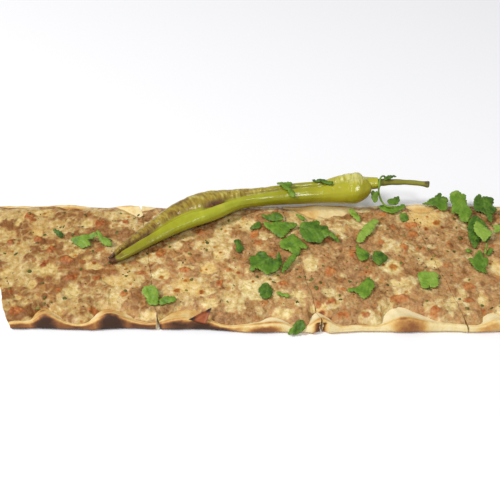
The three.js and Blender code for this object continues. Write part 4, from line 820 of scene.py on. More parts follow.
def pepper_material():
    """Grilled pepper skin: glossy green, lighter on top with a painted highlight and darker
    underneath as painted shade, a dry half, a pale shoulder, and a crease that is burnt in places
    and darkened all along by painted shade.
    """
    s = Shader("grilled_pepper", 0.28, 0.35)
    s.surface.inputs["Coat Weight"].default_value = 0.4
    s.surface.inputs["Coat Roughness"].default_value = 0.12
    # The green runs from dark to light along the light field, which carries painted light and shade
    # and a painted highlight.
    green = s.ramp(s.plus(s.field("light"), s.mottle(9, 3, 0.5)), [
        (0.0, (104, 92, 10)), (0.3, (132, 125, 14)), (0.6, (152, 152, 22)), (0.8, (168, 172, 36)),
        (1.0, (190, 190, 62)),
    ])
    green = s.lay(green, (170, 156, 32), s.field("ripe"), 0.45)
    threads = s.fibers(("length", "side", "up"), (1.1, 5.0, 5.0), 4.0)
    # The dry skin is darker in its wrinkle valleys, painted shade, and towards the tip.
    streaks = s.plus(s.times(s.field("wrinkle"), 0.3), s.times(threads, 0.9),
                     s.times(s.noise(6, 3), 0.3))
    dry = s.ramp(streaks, [
        (0.42, (104, 70, 12)), (0.6, (142, 114, 28)), (0.78, (166, 146, 48)),
        (1.0, (202, 190, 100)),
    ])
    color = s.mix(s.field("dry"), green, dry)
    fibrous = s.ramp(s.plus(streaks, s.times(s.noise(2.5, 3), 0.2)), [
        (0.5, (140, 112, 34)), (0.68, (170, 156, 62)), (0.82, (190, 184, 90)),
        (0.96, (214, 208, 132)),
    ])
    color = s.lay(color, fibrous, s.field("pale"), 0.85)
    # One brown covers the burnt tip, burnt patches and blotches, and the painted shade along the
    # crease.
    burnt = s.ramp(s.noise(2.0, 4), [(0.35, (64, 36, 16)), (0.65, (116, 74, 38))])
    color = s.mix(s.field("char_and_crease_shade"), color, burnt)
    bump = s.bump(s.noise(3.4, 4, (1.3, 0.6, 0.6)), 0.6, 0.6)
    folds = s.mix_value(s.math("MAXIMUM", s.field("dry"), s.field("pale")), 0.12, 0.9)
    bump = s.bump(threads, 0.5, folds, bump)
    bump = s.bump(s.noise(0.9, 3), 0.1, 0.4, bump)
    return s.finish(color, bump, s.mix_value(s.field("dry"), 0.22, 0.5))


def stem_material():
    s = Shader("pepper_stem", 0.55, 0.4)
    color = s.ramp(s.plus(s.field("along"), s.mottle(4, 4, 0.4)), [
        (0.0, (124, 122, 34)), (0.3, (118, 114, 28)), (0.85, (136, 134, 44)), (0.97, (72, 58, 28)),
    ])
    return s.finish(color, s.bump(s.noise(1.2, 4, (0.2, 1, 1)), 0.3, 0.6))


def parsley_material():
    """Parsley: fresh green with paler veins, each leaf with its own shade, lighter on its raised
    folds and darker in their hollows as painted light and shade.
    """
    s = Shader("parsley_leaf", 0.5, 0.35)
    s.surface.inputs["Subsurface Weight"].default_value = 0.08
    s.surface.inputs["Subsurface Radius"].default_value = (0.001, 0.002, 0.0005)
    color = s.ramp(s.plus(s.field("shade"), s.mottle(4, 4, 1.0)), [
        (0.0, (44, 76, 12)), (0.35, (78, 114, 20)), (0.7, (108, 142, 36)), (1.0, (138, 166, 64)),
    ])
    color = s.lay(color, (138, 162, 68), s.field("vein"), 0.35)
    bump = s.bump(s.noise(3.6, 2), 1.2, 0.6)
    return s.finish(color, s.bump(s.noise(1.0, 3), 0.2, 0.5, bump))


def flake_material():
    s = Shader("burnt_skin", 0.5, 0.4)
    color = s.ramp(s.plus(s.field("rim"), s.mottle(2.0, 4, 0.5)), [
        (0.0, (160, 84, 40)), (0.35, (132, 62, 30)), (0.65, (74, 38, 22)), (1.0, (36, 22, 16)),
    ])
    return s.finish(color, s.bump(s.noise(1.0, 4), 0.3, 0.8))


def speck_material():
    s = Shader("dark_specks", 0.6, 0.4)
    return s.finish(s.ramp(s.noise(1.5, 2), [(0.35, (40, 28, 18)), (0.65, (86, 54, 30))]))


def herb_material():
    s = Shader("herb_flecks", 0.55, 0.4)
    return s.finish(s.ramp(s.noise(3.0, 2), [
        (0.3, (60, 62, 16)), (0.5, (88, 92, 28)), (0.7, (120, 122, 46)),
    ]))


def bread_profile(stations, steps=34):
    """Points round the rim of each station, from the underside to the flat dough, with toast and
    painted shade.
    """
    part = np.linspace(0, 1, steps + 1)[None, :]
    insets, heights = rim_section(stations.rim)
    spots = np.linspace(0, insets.shape[1] - 1, steps + 1)
    inset, height = curve(insets.T, spots).T, np.maximum(curve(heights.T, spots).T, 0)
    x, y = stations.at(inset)
    off_floor = smooth(height / 1.5)
    arch = bell(x, HOLLOW_X, HOLLOW_HALF, 4) * (y < 0) * (part < 0.6)
    arch = arch * off_floor * fade(height, HOLLOW_TOP, 1.6)
    skin = uneven(x + height * 1.7, y, 6, 51) * off_floor
    wrinkle = uneven(x, y + height * 2, 2.2, 57, 1) * off_floor
    x, y = stations.at(inset - SKIN_RELIEF * skin * fade(part, 0.4, 0.5) + HOLLOW_DEPTH * arch)
    swell = smooth((part - 0.25) * 3) * (1 - smooth((part - 0.93) * 14))
    swell = swell * (0.6 + 0.12 * (stations.rim.height[:, None] - RIM_HEIGHT))
    height = height + (SKIN_RELIEF * skin + WRINKLE_RELIEF * wrinkle) * swell
    # The crest is golden and the slope behind it pale. The face in front darkens from below, partly
    # baked brown and partly painted shade, and the foot of the rim is darker still, a burnt base
    # with painted contact shadow.
    burnt = stations.burnt[:, None] * (0.6 + 0.65 * layered(x, y + height, 8, 61))
    top = stations.burnt_top[:, None] + 0.16 * uneven(x, y + height, 5, 67)
    edge = bell(part, CREST_PART, 0.06)
    face = fade(part, FACE_PART, 0.14)
    toast_and_painted_shade = 0.09 + 0.2 * edge * (0.4 + relief(x, y, 9, 63)) + 0.2 * fade(height, 0, 1.3)
    toast_and_painted_shade = toast_and_painted_shade + (0.04 + 0.32 * fade(x, -50, 70) + 0.12 * fade(height, 0, 3.0)) * face
    toast_and_painted_shade = toast_and_painted_shade + 0.68 * burnt * fade(part, top - 0.04, 0.19) + 0.2 * burnt * edge
    golden = 0.3 * burnt * fade(x, -30, 30) + (0.1 + 0.5 * burnt) * back_share(y)
    toast_and_painted_shade = toast_and_painted_shade + (golden - 0.03) * onset(part, SLOPE_PART, 0.12)
    # In the hollow under the arched blister the dough is painted dark brown: painted shade in the
    # recess.
    return np.stack([x, y, height, np.maximum(toast_and_painted_shade, 0.72 * arch)], -1)


def bread_piece(number, left, right, rounded, material):
    """One slice of dough: its rim, floor and underside, with cut faces at its ends."""
    front, back = [bread_profile(side) for side in both_sides(left, right)]
    steps = front.shape[1]
    rows = np.concatenate([front, back[:, ::-1]], 1)
    dough = Growing()
    grid = dough.add(rows)
    dough.cover(grid, closed=True)
    if rounded:
        inner = dough.add(bread_profile(round_stations(BREAD_END_STEPS))[1:-1])
        end = np.concatenate([grid[-1:, :steps], inner, grid[-1:, steps:][:, ::-1]])
        dough.cover(end)
        dough.fill(end[::-1, 0])
        dough.fill(end[:, -1])
    cut_face(dough, rows[0], -1)
    if not rounded:
        cut_face(dough, rows[-1], 1)
    return dough.piece(f"dough_slice_{number}", ["toast_and_painted_shade"], material, "dough", f"bread_{number}")


def cut_face(dough, loop, side, layers=7):
    """Fills a cut end with columns between its underside and its top, roughened like crumb."""
    half, last = len(loop) // 2, len(loop) - 1
    # The widest point of each rim splits the loop into a lower and an upper chain.
    widest = int(np.argmin(loop[:half, 1]))
    other = last - int(np.argmax(loop[half:, 1][::-1]))
    upper = loop[widest:other + 1]
    lower = np.concatenate([loop[widest::-1], loop[:other - 1:-1]])
    # Columns stand at the points of the upper chain, with their feet on the lower one.
    feet = upper.copy()
    for k in (0, 2):
        feet[:, k] = np.interp(upper[:, 1], lower[:, 1], lower[:, k])
    share = np.linspace(0, 1, layers + 1)[None, :]
    sheet = feet[:, None] + (upper - feet)[:, None] * share[..., None]
    y, z = sheet[..., 1], sheet[..., 2]
    pores = grains(y + 90 * side, z, 1.7, 71)[0]
    depth = smooth((0.45 - pores) / 0.3) * 0.55 + 0.25 * relief(y, z, 2.5, 73)
    border = smooth(share * layers / 1.5) * smooth((1 - share) * layers / 1.5)
    sheet[..., 0] -= side * depth * border
    sheet[..., 3] = 0.02 + 0.12 * pores * border + 0.25 * (1 - border)
    dough.cover(dough.add(sheet), flip=side > 0)


def cheese_at(x, y):
    """How much cheese covers a place, how far its pool bulges, and how golden it is."""
    warp_x = x + 5.0 * uneven(x, y, 8, 21) + 2.0 * uneven(x, y, 2.6, 23, 1)
    warp_y = y + 5.0 * uneven(x, y, 8, 25) + 2.0 * uneven(x, y, 2.6, 27, 1)
    cover = bulge = gold = 0.0
    for px, py, half_length, half_width, rise, golden in CHEESE_POOLS:
        distance = np.hypot((warp_x - px) / half_length, (warp_y - py) / half_width)
        here = fade(distance, 0.62, 0.6)
        cover = np.maximum(cover, here)
        bulge = np.maximum(bulge, here * rise)
        gold = np.maximum(gold, here * golden)
    return cover, bulge, gold


def tomato_at(x, y, pieces):
    """How much tomato lies at a place."""
    cover = 0.0
    ragged = 0.5 * uneven(x, y, 1.8, 81, 1) + 0.35 * uneven(x, y, 4.1, 83, 1)
    for px, py, length, width, turn in pieces:
        c, s = math.cos(math.radians(turn)), math.sin(math.radians(turn))
        u = ((x - px) * c + (y - py) * s) / (length / 2)
        v = ((y - py) * c - (x - px) * s) / (width / 2)
        distance = (np.abs(u) ** 3 + np.abs(v) ** 3) ** (1 / 3) + ragged
        cover = np.maximum(cover, fade(distance, 0.72, 0.36))
    return cover


def dome(distance):
    """A grain's height at a distance from its middle, in cells."""
    return 1 - np.minimum(distance, 1) ** 2


def topping_top(x, y):
    """The height of the full topping at a place, and the fields that colour it."""
    cover, bulge, gold = cheese_at(x, y)
    # Cheese has melted over most of the left half, and less of the right one.
    level = lerp(*MELTED_ABOVE, onset(x, -70, 190))
    fringed = layered(x, y, 10.5, 31) + 0.16 * uneven(x, y, 2.4, 37)
    melted = onset(fringed, level - 0.07, 0.14)
    tomato, bits = tomato_at(x, y, TOMATOES), tomato_at(x, y, TOMATO_BITS)
    lumps = LUMP * relief(x, y, LUMP_CELL, 3) + 0.4 * relief(x, y, LUMP_CELL / 2, 8)
    # The grains' places wander, so that they don't look like cells.
    strayed_x = x + 2.6 * uneven(x, y, 2.6, 141)
    strayed_y = y + 2.6 * uneven(x, y, 2.6, 143)
    nearest, edge, number = grains(strayed_x, strayed_y, GRAIN, 41)
    small, _, small_number = grains(strayed_x + 31, strayed_y, SMALL_GRAIN, 45)
    lump, lump_edge, lump_number = grains(strayed_x, strayed_y + 17, LARGE_GRAIN, 147)
    region = layered(x, y, 12, 151)
    veins = fade(lump_edge, 0, 0.36) * onset(region, 0.46, 0.1) * lerp(0.6, 0.3, onset(x, -40, 80))
    # Dark seams between some lumps: painted shade.
    seam_shade = fade(lump_edge, 0, 0.22) * smooth((0.48 - region) / 0.08)
    cheese = np.maximum(cover, np.maximum(0.85 * melted, veins)) * (1 - np.maximum(tomato, bits))
    meat = dome(nearest) + 0.35 * dome(small) + 0.6 * dome(lump) - 1.3
    skin = 0.4 * layered(x, y, 6, 47) - 0.15
    height = FLOOR + TOPPING - 0.5 + lerp(lumps, 0.35, cover) + bulge
    height = height + TOMATO_RISE * tomato + TOMATO_BIT_RISE * bits
    height = height + lerp(meat, skin, np.clip(cheese, 0, 1))
    height = height + 0.12 * uneven(x, y, 0.9, 49, 1) * (1 - 0.7 * cheese)
    # The gaps between grains are darkened: painted shade.
    gap = fade(edge, 0, 0.3) * onset(layered(x, y, 5, 145), 0.42, 0.2)
    brown = 0.0
    blurred = 0.5 * uneven(x, y, 1.5, 91, 1)
    for px, py, radius in BLISTERS:
        spot = fade(np.hypot(x - px, y - py) / radius + blurred, 0.45, 0.7)
        brown = np.maximum(brown, 0.7 * spot)
        height = height + 0.4 * spot * (1 - 0.5 * spot)
    toasted, _, chance = grains(x, y, 8.5, 95)
    brown = np.maximum(brown, 0.55 * fade(toasted, 0.06, 0.14) * (chance > 0.72) * cheese)
    tone = 0.5
    for share, value, distance in ((0.55, number, nearest), (0.3, small_number, small),
                                   (0.4, lump_number, lump)):
        tone = tone + share * (value - 0.5) * fade(distance, 0, 1)
    oil = onset(layered(x, y, 10, 97), 0.42, 0.25) * lerp(1, 0.6, onset(x, -40, 110))
    return height, {
        "cheese": cheese,
        "gold": np.clip(gold + 0.3 * onset(layered(x, y, 11, 99), 0.5, 0.2), 0, 1),
        "tomato": np.maximum(tomato, 0.85 * bits) * (0.75 + 0.4 * relief(x, y, 3, 93)),
        "grain": tone,
        "gap": np.maximum(gap, 0.8 * seam_shade) * (1 - cheese),
        "oil": np.maximum(oil, (lump_number > 0.6) * fade(lump, 0.3, 0.25)),
        "fringe": 4 * cheese * (1 - cheese),
        "warm": fade(x, -150, 130),
        "brown": brown,
    }


def topping_half(stations, columns=HALF_COLUMNS):
    """The topping's top from its edge to the middle line at each station, and its edge's foot."""
    # Where the rim is low the topping comes up to its crest, and behind a blister it ends lower.
    down = 0.1 + 0.88 * smooth(stations.rim.rise / 3.2) + 0.3 * (stations.slide - 0.45)
    down = np.clip(down + 0.3 * uneven(stations.x, stations.y, 5, 35), 0.05, 0.98)
    first, last = np.minimum(2 * down, 1), np.maximum(2 * down - 1, 0)
    edge_inset, edge_height = [
        v[:, 5] + (v[:, 6] - v[:, 5]) * first + (v[:, 7] - v[:, 6]) * last
        for v in rim_section(stations.rim)
    ]
    share = np.linspace(0, 1, columns + 1)[None, :]
    inset = lerp(edge_inset[:, None], stations.to_middle[:, None], share)
    x, y = stations.at(inset)
    full, fields = topping_top(x, y)
    risen = smooth((inset - edge_inset[:, None]) / EDGE_FALL) ** 0.8
    height = lerp(edge_height[:, None] + EDGE_RISE, full, risen)
    top = np.stack([x, y, height] + [fields[name] for name in FIELD_NAMES], -1)
    foot = top[:, 0].copy()
    foot[:, 2] = edge_height - EDGE_SUNK
    return top, foot


def topping_piece(number, left, right, rounded, material):
    """One slice's topping, a closed layer down to the dough."""
    front_side, back_side = both_sides(left, right)
    front, front_foot = topping_half(front_side)
    back, back_foot = topping_half(back_side)
    middle = front.shape[1] - 1
    rows = np.concatenate([front, back[:, -2::-1]], 1)
    layer = Growing()
    grid = layer.add(rows)
    feet = layer.add(np.stack([front_foot, back_foot], 1))
    layer.cover(grid)
    layer.cover(np.stack([feet[:, 0], grid[:, 0]], 1))
    layer.cover(np.stack([grid[:, -1], feet[:, 1]], 1))
    layer.cover(feet[:, ::-1])
    if rounded:
        end, end_foot = topping_half(round_stations(TOPPING_END_STEPS))
        inner = layer.add(end[1:-1, :-1])
        fan = np.concatenate([grid[-1:, :middle], inner, grid[-1:, middle + 1:][:, ::-1]])
        layer.cover(np.concatenate([fan, np.full((len(fan), 1), grid[-1, middle])], 1))
        foot = np.concatenate([feet[-1:, 0], layer.add(end_foot[1:-1]), feet[-1:, 1]])
        layer.cover(np.stack([foot, fan[:, 0]], 1))
        layer.fill(foot[::-1])
    topping_wall(layer, rows[0], grid[0], feet[0], -1)
    if not rounded:
        topping_wall(layer, rows[-1], grid[-1], feet[-1], 1)
    return layer.piece(f"meat_topping_{number}", FIELD_NAMES, material, "topping",
                       f"topping_{number}")


def topping_wall(layer, top, row, feet, side, layers=5):
    """The cut face of the topping: meat crumbs between its top and the dough."""
    share = np.linspace(0, 1, layers + 1)[1:, None, None]
    bottom = top.copy()
    bottom[:, 2] = np.minimum(top[:, 2] - 0.3, FLOOR + 0.02 + (top[:, 2] - FLOOR) * 0.02)
    sheet = top[None] + (bottom - top)[None] * share
    distance, _, number = grains(sheet[..., 1] + 55 * side, sheet[..., 2], 2.1, 75)
    sheet[..., 0] -= side * 0.5 * distance * smooth(share[..., 0] * 2)
    sheet[..., 3 + FIELD_NAMES.index("cheese")] *= 0.3
    sheet[..., 3 + FIELD_NAMES.index("grain")] = 0.25 + 0.5 * number
    numbers = layer.add(sheet)
    layer.cover(np.concatenate([row[None], numbers]), flip=side < 0)
    loop = np.concatenate([feet[:1], numbers[-1], feet[1:]])
    layer.fill(loop if side < 0 else loop[::-1])


def tube_piece(name, rings, ends, fields, material, slot, node):
    """A closed tube: its sides follow the rings, and its ends run to two middle points."""
    values = np.stack(np.broadcast_arrays(rings[..., 0], *fields.values())[1:], -1)
    tube = Growing()
    grid = tube.add(np.concatenate([rings, values], -1))
    middles = tube.add(np.concatenate([ends, values[[0, -1]].mean(1)], -1))
    tube.cover(grid, closed=True, flip=True)
    for middle, ring in zip(middles, (grid[0, ::-1], grid[-1])):
        tube.faces.append(np.stack([np.full(len(ring), middle), ring, np.roll(ring, -1)], -1))
    return tube.piece(name, fields, material, slot, node)


def around(sides):
    """Angles round a ring, as a row."""
    return np.linspace(0, 2 * np.pi, sides, endpoint=False)[None, :]


def pepper_piece(material, steps=330, sides=128):
    """The pepper: rings along its bent way, with a crease, a dry half and a shrunken shoulder."""
    t, angle = np.linspace(0, 1, steps + 1)[:, None], around(sides)
    last = len(PEPPER_RINGS) - 1
    named, ahead, behind = [
        curve(PEPPER_RINGS, np.clip(t[:, 0] + shift, 0, 1) * last) for shift in (0, 0.01, -0.01)
    ]
    way = ahead[:, :2] - behind[:, :2]
    way /= np.linalg.norm(way, axis=1)[:, None]
    x0, y0, half, height, lift, crease = [named[:, k:k + 1] for k in range(6)]
    across = np.cos(angle) + 0 * t
    up = np.sign(np.sin(angle)) * np.abs(np.sin(angle)) ** 0.85 + 0 * t
    top = smooth(up * 3)
    length, girth = t * PEPPER_LENGTH, angle * PEPPER_RADIUS
    # The crease, and the half behind it that is dry and wrinkled.
    crease = crease + 0.2 * uneven(length, 0 * length, 9, 99)
    groove = top * bell(across, crease, 0.2) * smooth(t / 0.1) * fade(t, 0.62, 0.25)
    scorched = smooth(t / 0.06) * fade(t, 0.46, 0.12)
    dry = onset(across, crease, 0.14) * scorched
    wrinkles = uneven(length * 1.6, girth * 0.55, 3.0, 101)
    # The shoulder: shrunken behind and pale on top.
    shrunk = onset(t, 0.6, 0.08) * fade(t, 0.9, 0.04) * onset(across, 0.1, 0.5)
    pale = onset(t, 0.64, 0.1) * fade(t, 0.91, 0.05) * onset(up, 0.15, 0.3)
    pale = pale * smooth((across + 0.55 + 0.9 * uneven(length, girth, 7, 119)) / 0.25)
    folds = uneven(length * 0.3, girth * 1.4, 4.5, 105)
    swell = 1 + 0.03 * wave(t, 0.31, 0.3) + 0.05 * folds * (0.4 + dry)
    swell = swell + 0.04 * onset(t, 0.78, 0.1) * wave(angle, 1.3, 0.4)
    rough = wrinkles * (1.3 * dry + shrunk + 0.5 * pale) + 0.25 * folds - 0.5 * dry
    z = PEPPER_REST + lift + (height / 2) * (1 + up) * (1 + 0.05 * folds) + rough * top
    z = z - CREASE_DEPTH * groove
    side = across * half * swell
    rings = np.stack([x0 - way[:, 1:] * side, y0 + way[:, :1] * side, z], -1)
    ends = rings[[0, -1]].mean(1)
    ends[1, 0] += NUB_BULGE
    burnt_tip = fade(t - 0.05 * relief(length, girth, 6, 107), 0.05, 0.05)
    patches = sum(bell(x0, place, reach, 4) for place, reach in CREASE_BURNS)
    # The crease is darkened all along as painted shade, and burnt in patches.
    line = bell(across, crease + 0.02, 0.15) * top * scorched * (0.16 + 0.95 * patches)
    char_and_crease_shade = np.clip(1.35 * line * (0.45 + 0.9 * relief(length, girth, 5, 109)), 0, 1)
    blotch = onset(layered(length, girth, 7, 113), 0.62, 0.1) * 0.5 * dry
    # Lighter on the upper front and darker underneath as painted light and shade, with a painted
    # highlight band near the middle; it also varies along the length and is lighter towards the
    # nub.
    light = 0.3 + 0.35 * smooth((up - 0.2 * across) * 0.6 + 0.4) + 0.35 * onset(t, 0.9, 0.05)
    light = light + 0.18 * wave(t, 0.37, 2.0) * (1 - dry) + 0.16 * bell(t, 0.47, 0.08)
    shoulder_dry = 0.75 * onset(layered(length, girth, 8, 117), 0.45, 0.15) * shrunk
    fields = {
        "char_and_crease_shade": np.maximum(np.maximum(burnt_tip, char_and_crease_shade), blotch),
        "dry": np.maximum(dry, shoulder_dry),
        "light": light,
        "pale": pale,
        # Low in the wrinkle valleys, for painted shade on the dry skin, and lower towards the tip.
        "wrinkle": np.clip(0.5 + 1.3 * wrinkles, 0, 1) - 0.5 * fade(t, 0.18, 0.2),
        "ripe": onset(t, 0.58, 0.08),
        "length": length,
        "side": 10 * across,
        "up": 10 * up,
    }
    return tube_piece("grilled_pepper", rings, ends, fields, material, "pepper_skin", "pepper")


def tube_rings(path, out, sides):
    """Rings round a path of points, each as far out as the rows of out say."""
    way = np.gradient(path, axis=0)
    way /= np.linalg.norm(way, axis=1)[:, None]
    side = np.cross(np.array([0.0, 0.1, 1.0]), way)
    side /= np.linalg.norm(side, axis=1)[:, None]
    up = np.cross(way, side)
    ring = path[:, None] + side[:, None] * (out * np.cos(around(sides)))[..., None]
    return ring + up[:, None] * (out * np.sin(around(sides)))[..., None]


def stem_piece(material, steps=90, sides=40):
    t, angle = np.linspace(0, 1, steps + 1)[:, None], around(sides)
    spots = t[:, 0] * (len(STEM_PATH) - 1)
    path = curve(STEM_PATH, spots)
    radius = np.interp(spots, range(len(STEM_RADII)), STEM_RADII)[:, None]
    ridges = 1 + 0.09 * np.cos(5 * angle + 3 * t) * fade(t, 0, 0.1) + 0.05 * np.cos(4 * angle)
    flare = 1 + 0.12 * bell(t, 0.97, 0.03) + 0.06 * wave(t, 0.23, 0.0)
    rings = tube_rings(path, radius * ridges * flare, sides)
    return tube_piece("pepper_stalk", rings, path[[0, -1]], {"along": t}, material,
                      "pepper_stem", "pepper_stem")


def stalk_piece(number, corners, material, sides=12):
    """A thin stalk of parsley."""
    t = np.linspace(0, 1, 12 * (len(corners) - 1) + 1)
    path = curve(np.array(corners, float), t * (len(corners) - 1))
    rings = tube_rings(path, STALK_RADIUS * (1 + 0.12 * wave(t, 0.3, 0.5))[:, None], sides)
    return tube_piece(f"parsley_stem_{number}", rings, path[[0, -1]], {"vein": 0.4, "shade": 0.75},
                      material, "parsley", f"parsley_stalk_{number}")


def flake_piece(material, size=26):
    """The burnt flake: a thin curled triangle with two sides."""
    spots = [(i, j) for i in range(size + 1) for j in range(size + 1 - i)]
    index = {spot: number for number, spot in enumerate(spots)}
    i, j = np.array(spots).T
    u, v = i / size, j / size
    shares = np.stack([1 - u - v, u, v], -1)
    inner = shares.min(1)
    top = shares @ FLAKE_CORNERS - [0, 0, FLAKE_SINK]
    rough = 0.5 * uneven(top[:, 0], top[:, 1], 2.0, 121, 1)
    top[:, 2] += 0.5 - 1.1 * np.sin(np.pi * np.minimum(1, inner * 3)) + rough
    border = np.minimum(1, inner * 12)
    under = top - np.outer(border, [0, 0, FLAKE_THICKNESS])
    ends = np.maximum(onset(1 - u - v, 0.5, 0.4), onset(v, 0.55, 0.35))
    rim = np.maximum(ends, 0.5 * (1 - border))
    faces = [(index[a, b], index[a + 1, b], index[a, b + 1]) for a, b in spots if a + b < size]
    faces += [(index[a + 1, b], index[a + 1, b + 1], index[a, b + 1])
              for a, b in spots if a + b < size - 1]
    above = np.array(faces)
    # Both sides share the points of the edge, so that the flake is closed.
    edge = i * j * (size - i - j) == 0
    below = np.where(edge[above], above, above + len(spots))[:, ::-1]
    return make_piece("burnt_tomato_skin", np.concatenate([top, under]), [above, below], material,
                      {"rim": np.tile(rim, 2)}, ["burnt_flake"])


def leaf_edge(corners):
    """A leaf's outline through its corners, with bowed edges and pointed teeth."""
    flat = corners[:, :2]
    following = np.roll(flat, -1, 0)
    turning = np.sign(np.sum(flat[:, 0] * following[:, 1] - following[:, 0] * flat[:, 1]))
    edge = []
    for start, stop in zip(flat, following):
        way = stop - start
        length = np.hypot(*way)
        outward = turning * np.array([way[1], -way[0]]) / length
        teeth = max(1, round(length / TOOTH_LENGTH))
        share = np.arange(TOOTH_STEPS * teeth) / (TOOTH_STEPS * teeth)
        place = teeth * share
        number = np.floor(place)
        tooth = 1 - np.abs(2 * (place - number) - 1)
        size = 0.25 + 0.65 * lattice_value(number, start[0] + start[1], 161)
        bow = 0.07 * length * np.sin(np.pi * share) + size * (tooth - 0.3)
        edge.append(start + way * share[:, None] + outward * bow[:, None])
    return np.concatenate(edge)


def inside(points, outline):
    """Which points lie inside a closed outline."""
    found = np.zeros(len(points), bool)
    for (ax, ay), (bx, by) in zip(outline, np.roll(outline, -1, 0)):
        crosses = (ay > points[:, 1]) != (by > points[:, 1])
        with np.errstate(divide="ignore", invalid="ignore"):
            at = ax + (points[:, 1] - ay) * (bx - ax) / (by - ay)
        found ^= crosses & (points[:, 0] < at)
    return found


def distances(points, others):
    """The distance of each point, in rows, from each of the others."""
    return np.linalg.norm(points[:, None] - others[None], axis=2)


def leaf_piece(number, leaf, material, spacing=0.8):
    """A parsley leaf: a thin wavy sheet inside its outline, with a midrib and side veins."""
    shade, corners = leaf
    corners = np.array(corners, float)
    node = f"parsley_{number:02d}"
    edge = leaf_edge(corners)
    rows = np.arange(edge[:, 1].min(), edge[:, 1].max(), spacing * 0.87)
    across = np.arange(edge[:, 0].min(), edge[:, 0].max(), spacing)
    inner = np.array([(x + spacing / 2 * (i % 2), y) for i, y in enumerate(rows) for x in across])
    inner = inner[inside(inner, edge) & (distances(inner, edge).min(1) > 0.5 * spacing)]
    flat = [Vector(p) for p in np.concatenate([edge, inner])]
    loop = [(i, (i + 1) % len(edge)) for i in range(len(edge))]
    result = delaunay_2d_cdt(flat, loop, [], 1, 1e-5)
    places = np.array([tuple(p) for p in result[0]])
    triangles = np.array(result[2])
    # The height over what it rests on comes from the corners nearby.
    weight = 1 / (distances(places, corners[:, :2]) + 0.3) ** 2.5
    lifted = (weight * corners[:, 2]).sum(1) / weight.sum(1)
    # The midrib joins the two corners that are farthest apart.
    apart = distances(corners[:, :2], corners[:, :2])
    a, b = np.unravel_index(np.argmax(apart), apart.shape)
    along = (corners[b, :2] - corners[a, :2]) / apart[a, b]
    u = (places - corners[a, :2]) @ along
    v = (places - corners[a, :2]) @ np.array([-along[1], along[0]]) + 0.6 * wave(u, 17, number)
    side_way = (u - 1.1 * np.abs(v)) / VEIN_SPACING
    side_veins = bell(side_way, np.round(side_way), 0.09) * (1 - smooth(np.abs(v) / 7))
    vein = np.maximum(bell(v, 0, 0.3), 0.7 * side_veins)
    border = smooth(distances(places, edge).min(1) / 1.6)
    pillow = LEAF_PILLOW * (1 - np.cos(2 * np.pi * side_way)) / 2
    fold = layered(*places.T, 4.6, 130 + number, 2)
    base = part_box(node)[0].z / MM - corners[:, 2].min() + LEAF_NODE_THICKNESS
    height = base + lifted + (LEAF_SWELL + pillow - VEIN_DEPTH * vein) * border
    height = height + LEAF_FOLD * (fold - 0.25)
    top = np.column_stack([places, height])
    order = edge_order(triangles)
    below = order + len(top)
    wall = np.stack([order[:, 0], below[:, 0], below[:, 1], order[:, 1]], -1)
    faces = [triangles, triangles[:, ::-1] + len(top), wall]
    # Each leaf's tone varies at random and is lighter along its border; it is lighter on its raised
    # folds and darker in their hollows as painted light and shade.
    tones_and_painted_fold_light = shade + 0.3 * uneven(*places.T, 6, 150) + 0.1 * (1 - border) + 0.45 * (fold - 0.5)
    fields = {"vein": np.concatenate([vein, 0.6 * vein]), "shade": np.tile(tones_and_painted_fold_light, 2)}
    points = np.concatenate([top, top - [0, 0, LEAF_THICKNESS]])
    return make_piece(f"parsley_leaf_{number:02d}", points, faces, material, fields,
                      [node])


def edge_order(triangles):
    """The edges that only one triangle has, in that triangle's direction."""
    ways = np.concatenate([triangles[:, [0, 1]], triangles[:, [1, 2]], triangles[:, [2, 0]]])
    known = {(int(a), int(b)) for a, b in ways}
    return np.array([way for way in ways if (int(way[1]), int(way[0])) not in known])


def lump_faces(rings, sides):
    """Triangles of a closed lump: its rings of points from below, then its two middle points."""
    here = np.arange(sides)
    after = (here + 1) % sides
    under, over = np.full((2, sides), rings * sides) + [[0], [1]]
    last = (rings - 1) * sides
    faces = [(under, after, here), (over, last + here, last + after)]
    for row in range(rings - 1):
        a, b = row * sides + here, row * sides + after
        faces += [(a, b, b + sides), (a, b + sides, a + sides)]
    return np.concatenate([np.stack(face, -1) for face in faces])


def scatter(name, material, slot, count, sizes, seed, flat):
    """Small uneven bits lying on the topping, joined into one mesh."""
    random = np.random.default_rng(seed)
    faces = lump_faces(len(BIT_RINGS), BIT_SIDES)
    angle = around(BIT_SIDES)[0]
    bits = Growing()
    while len(bits.faces) < count:
        x, y = random.uniform(*BITS_ALONG), random.uniform(-BITS_ACROSS, BITS_ACROSS)
        size = random.uniform(*sizes)
        turn, stretch = random.uniform(0, 2 * math.pi), random.uniform(0.4, 1.0)
        shape = random.uniform(0.6, 1.15, BIT_SIDES)
        tilt = random.uniform(-0.3, 0.3, 2)
        left = CUTS[0]["x"] + CUTS[0]["slope"] * (y + HALF_WIDTH) + BITS_OFF_CUT
        if x < left or x > ROUND_START and math.hypot(x - ROUND_START, y) > BITS_ROUND:
            continue
        top = np.array([x, y, topping_top(np.array([x]), np.array([y]))[0][0]])
        u, v = np.cos(angle) * shape * size / 2, np.sin(angle) * shape * size / 2 * stretch
        ring = np.stack([u * math.cos(turn) - v * math.sin(turn),
                         u * math.sin(turn) + v * math.cos(turn), tilt[0] * u + tilt[1] * v], -1)
        thick = np.array([0, 0, size * flat])
        rings = [top + ring * scale + thick * level for scale, level in BIT_RINGS]
        middles = [top - 0.3 * thick, top + 0.85 * thick]
        bits.faces.append(bits.add(np.concatenate([*rings, middles]))[faces])
    return bits.piece(name, [], material, slot)


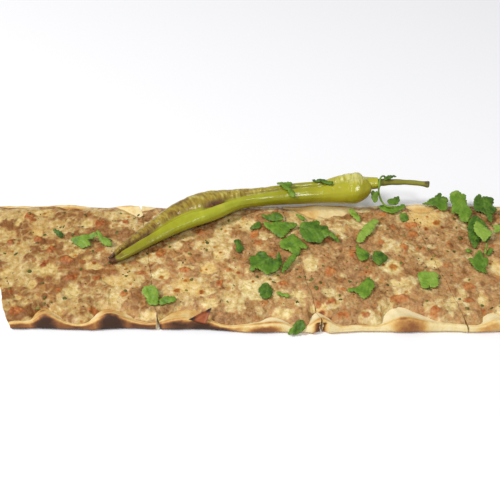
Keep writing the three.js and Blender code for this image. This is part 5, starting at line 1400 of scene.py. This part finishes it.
def make_stage():
    """A plain pale floor, soft studio light and the camera of the photograph."""
    bpy.ops.mesh.primitive_plane_add(size=STAGE_SIZE, location=(0, 0, 0))
    floor = bpy.context.object
    floor.name = "floor"
    floor.data.materials.append(Shader("floor", 0.6, 0.3).finish(linear(STAGE_COLOR)))
    scene = bpy.context.scene
    scene.world = bpy.data.worlds.new("studio")
    scene.world.use_nodes = True
    sky = scene.world.node_tree.nodes["Background"]
    sky.inputs["Color"].default_value = (1.0, 1.0, 1.0, 1.0)
    sky.inputs["Strength"].default_value = SKY_STRENGTH
    for name, (x, y, z), size, power in LIGHTS:
        data = bpy.data.lights.new(name, "AREA")
        data.shape = "DISK"
        data.size = size
        data.energy = power
        lamp = bpy.data.objects.new(name, data)
        scene.collection.objects.link(lamp)
        lamp.location = (x, y, z)
        lamp.rotation_euler = (math.atan2(math.hypot(x, y), z), 0, math.atan2(-y, -x) - math.pi / 2)
    camera = bpy.data.cameras.new("camera")
    camera.lens = CAMERA_LENS
    camera.sensor_width = CAMERA_SENSOR
    camera.clip_start = CAMERA_CLIP
    view = bpy.data.objects.new("camera", camera)
    scene.collection.objects.link(view)
    view.location = (-MIDDLE_X * MM, (-CAMERA_BACK - MIDDLE_Y) * MM, CAMERA_HEIGHT * MM)
    view.rotation_euler = (math.radians(CAMERA_TILT), 0, 0)
    scene.camera = view
    scene.view_settings.view_transform = "Standard"


def build():
    dough, topping, parsley = dough_material(), topping_material(), parsley_material()
    for number, cut in enumerate(CUTS, 1):
        following = CUTS[number] if number < len(CUTS) else None

        def left(y, cut=cut):
            return cut_x(cut, y, 1)

        def right(y, following=following):
            return cut_x(following, y, -1) if following else ROUND_START + 0 * y

        bread_piece(number, left, right, following is None, dough)
        topping_piece(number, left, right, following is None, topping)
    pepper_piece(pepper_material())
    stem_piece(stem_material())
    flake_piece(flake_material())
    for number, leaf in enumerate(LEAVES, 1):
        leaf_piece(number, leaf, parsley)
    for number, corners in enumerate(STALKS, 1):
        stalk_piece(number, corners, parsley)
    scatter("herb_bits", herb_material(), "parsley", *HERBS)
    scatter("dark_bits", speck_material(), "burnt_skin", *SPECKS)
    make_stage()


build()
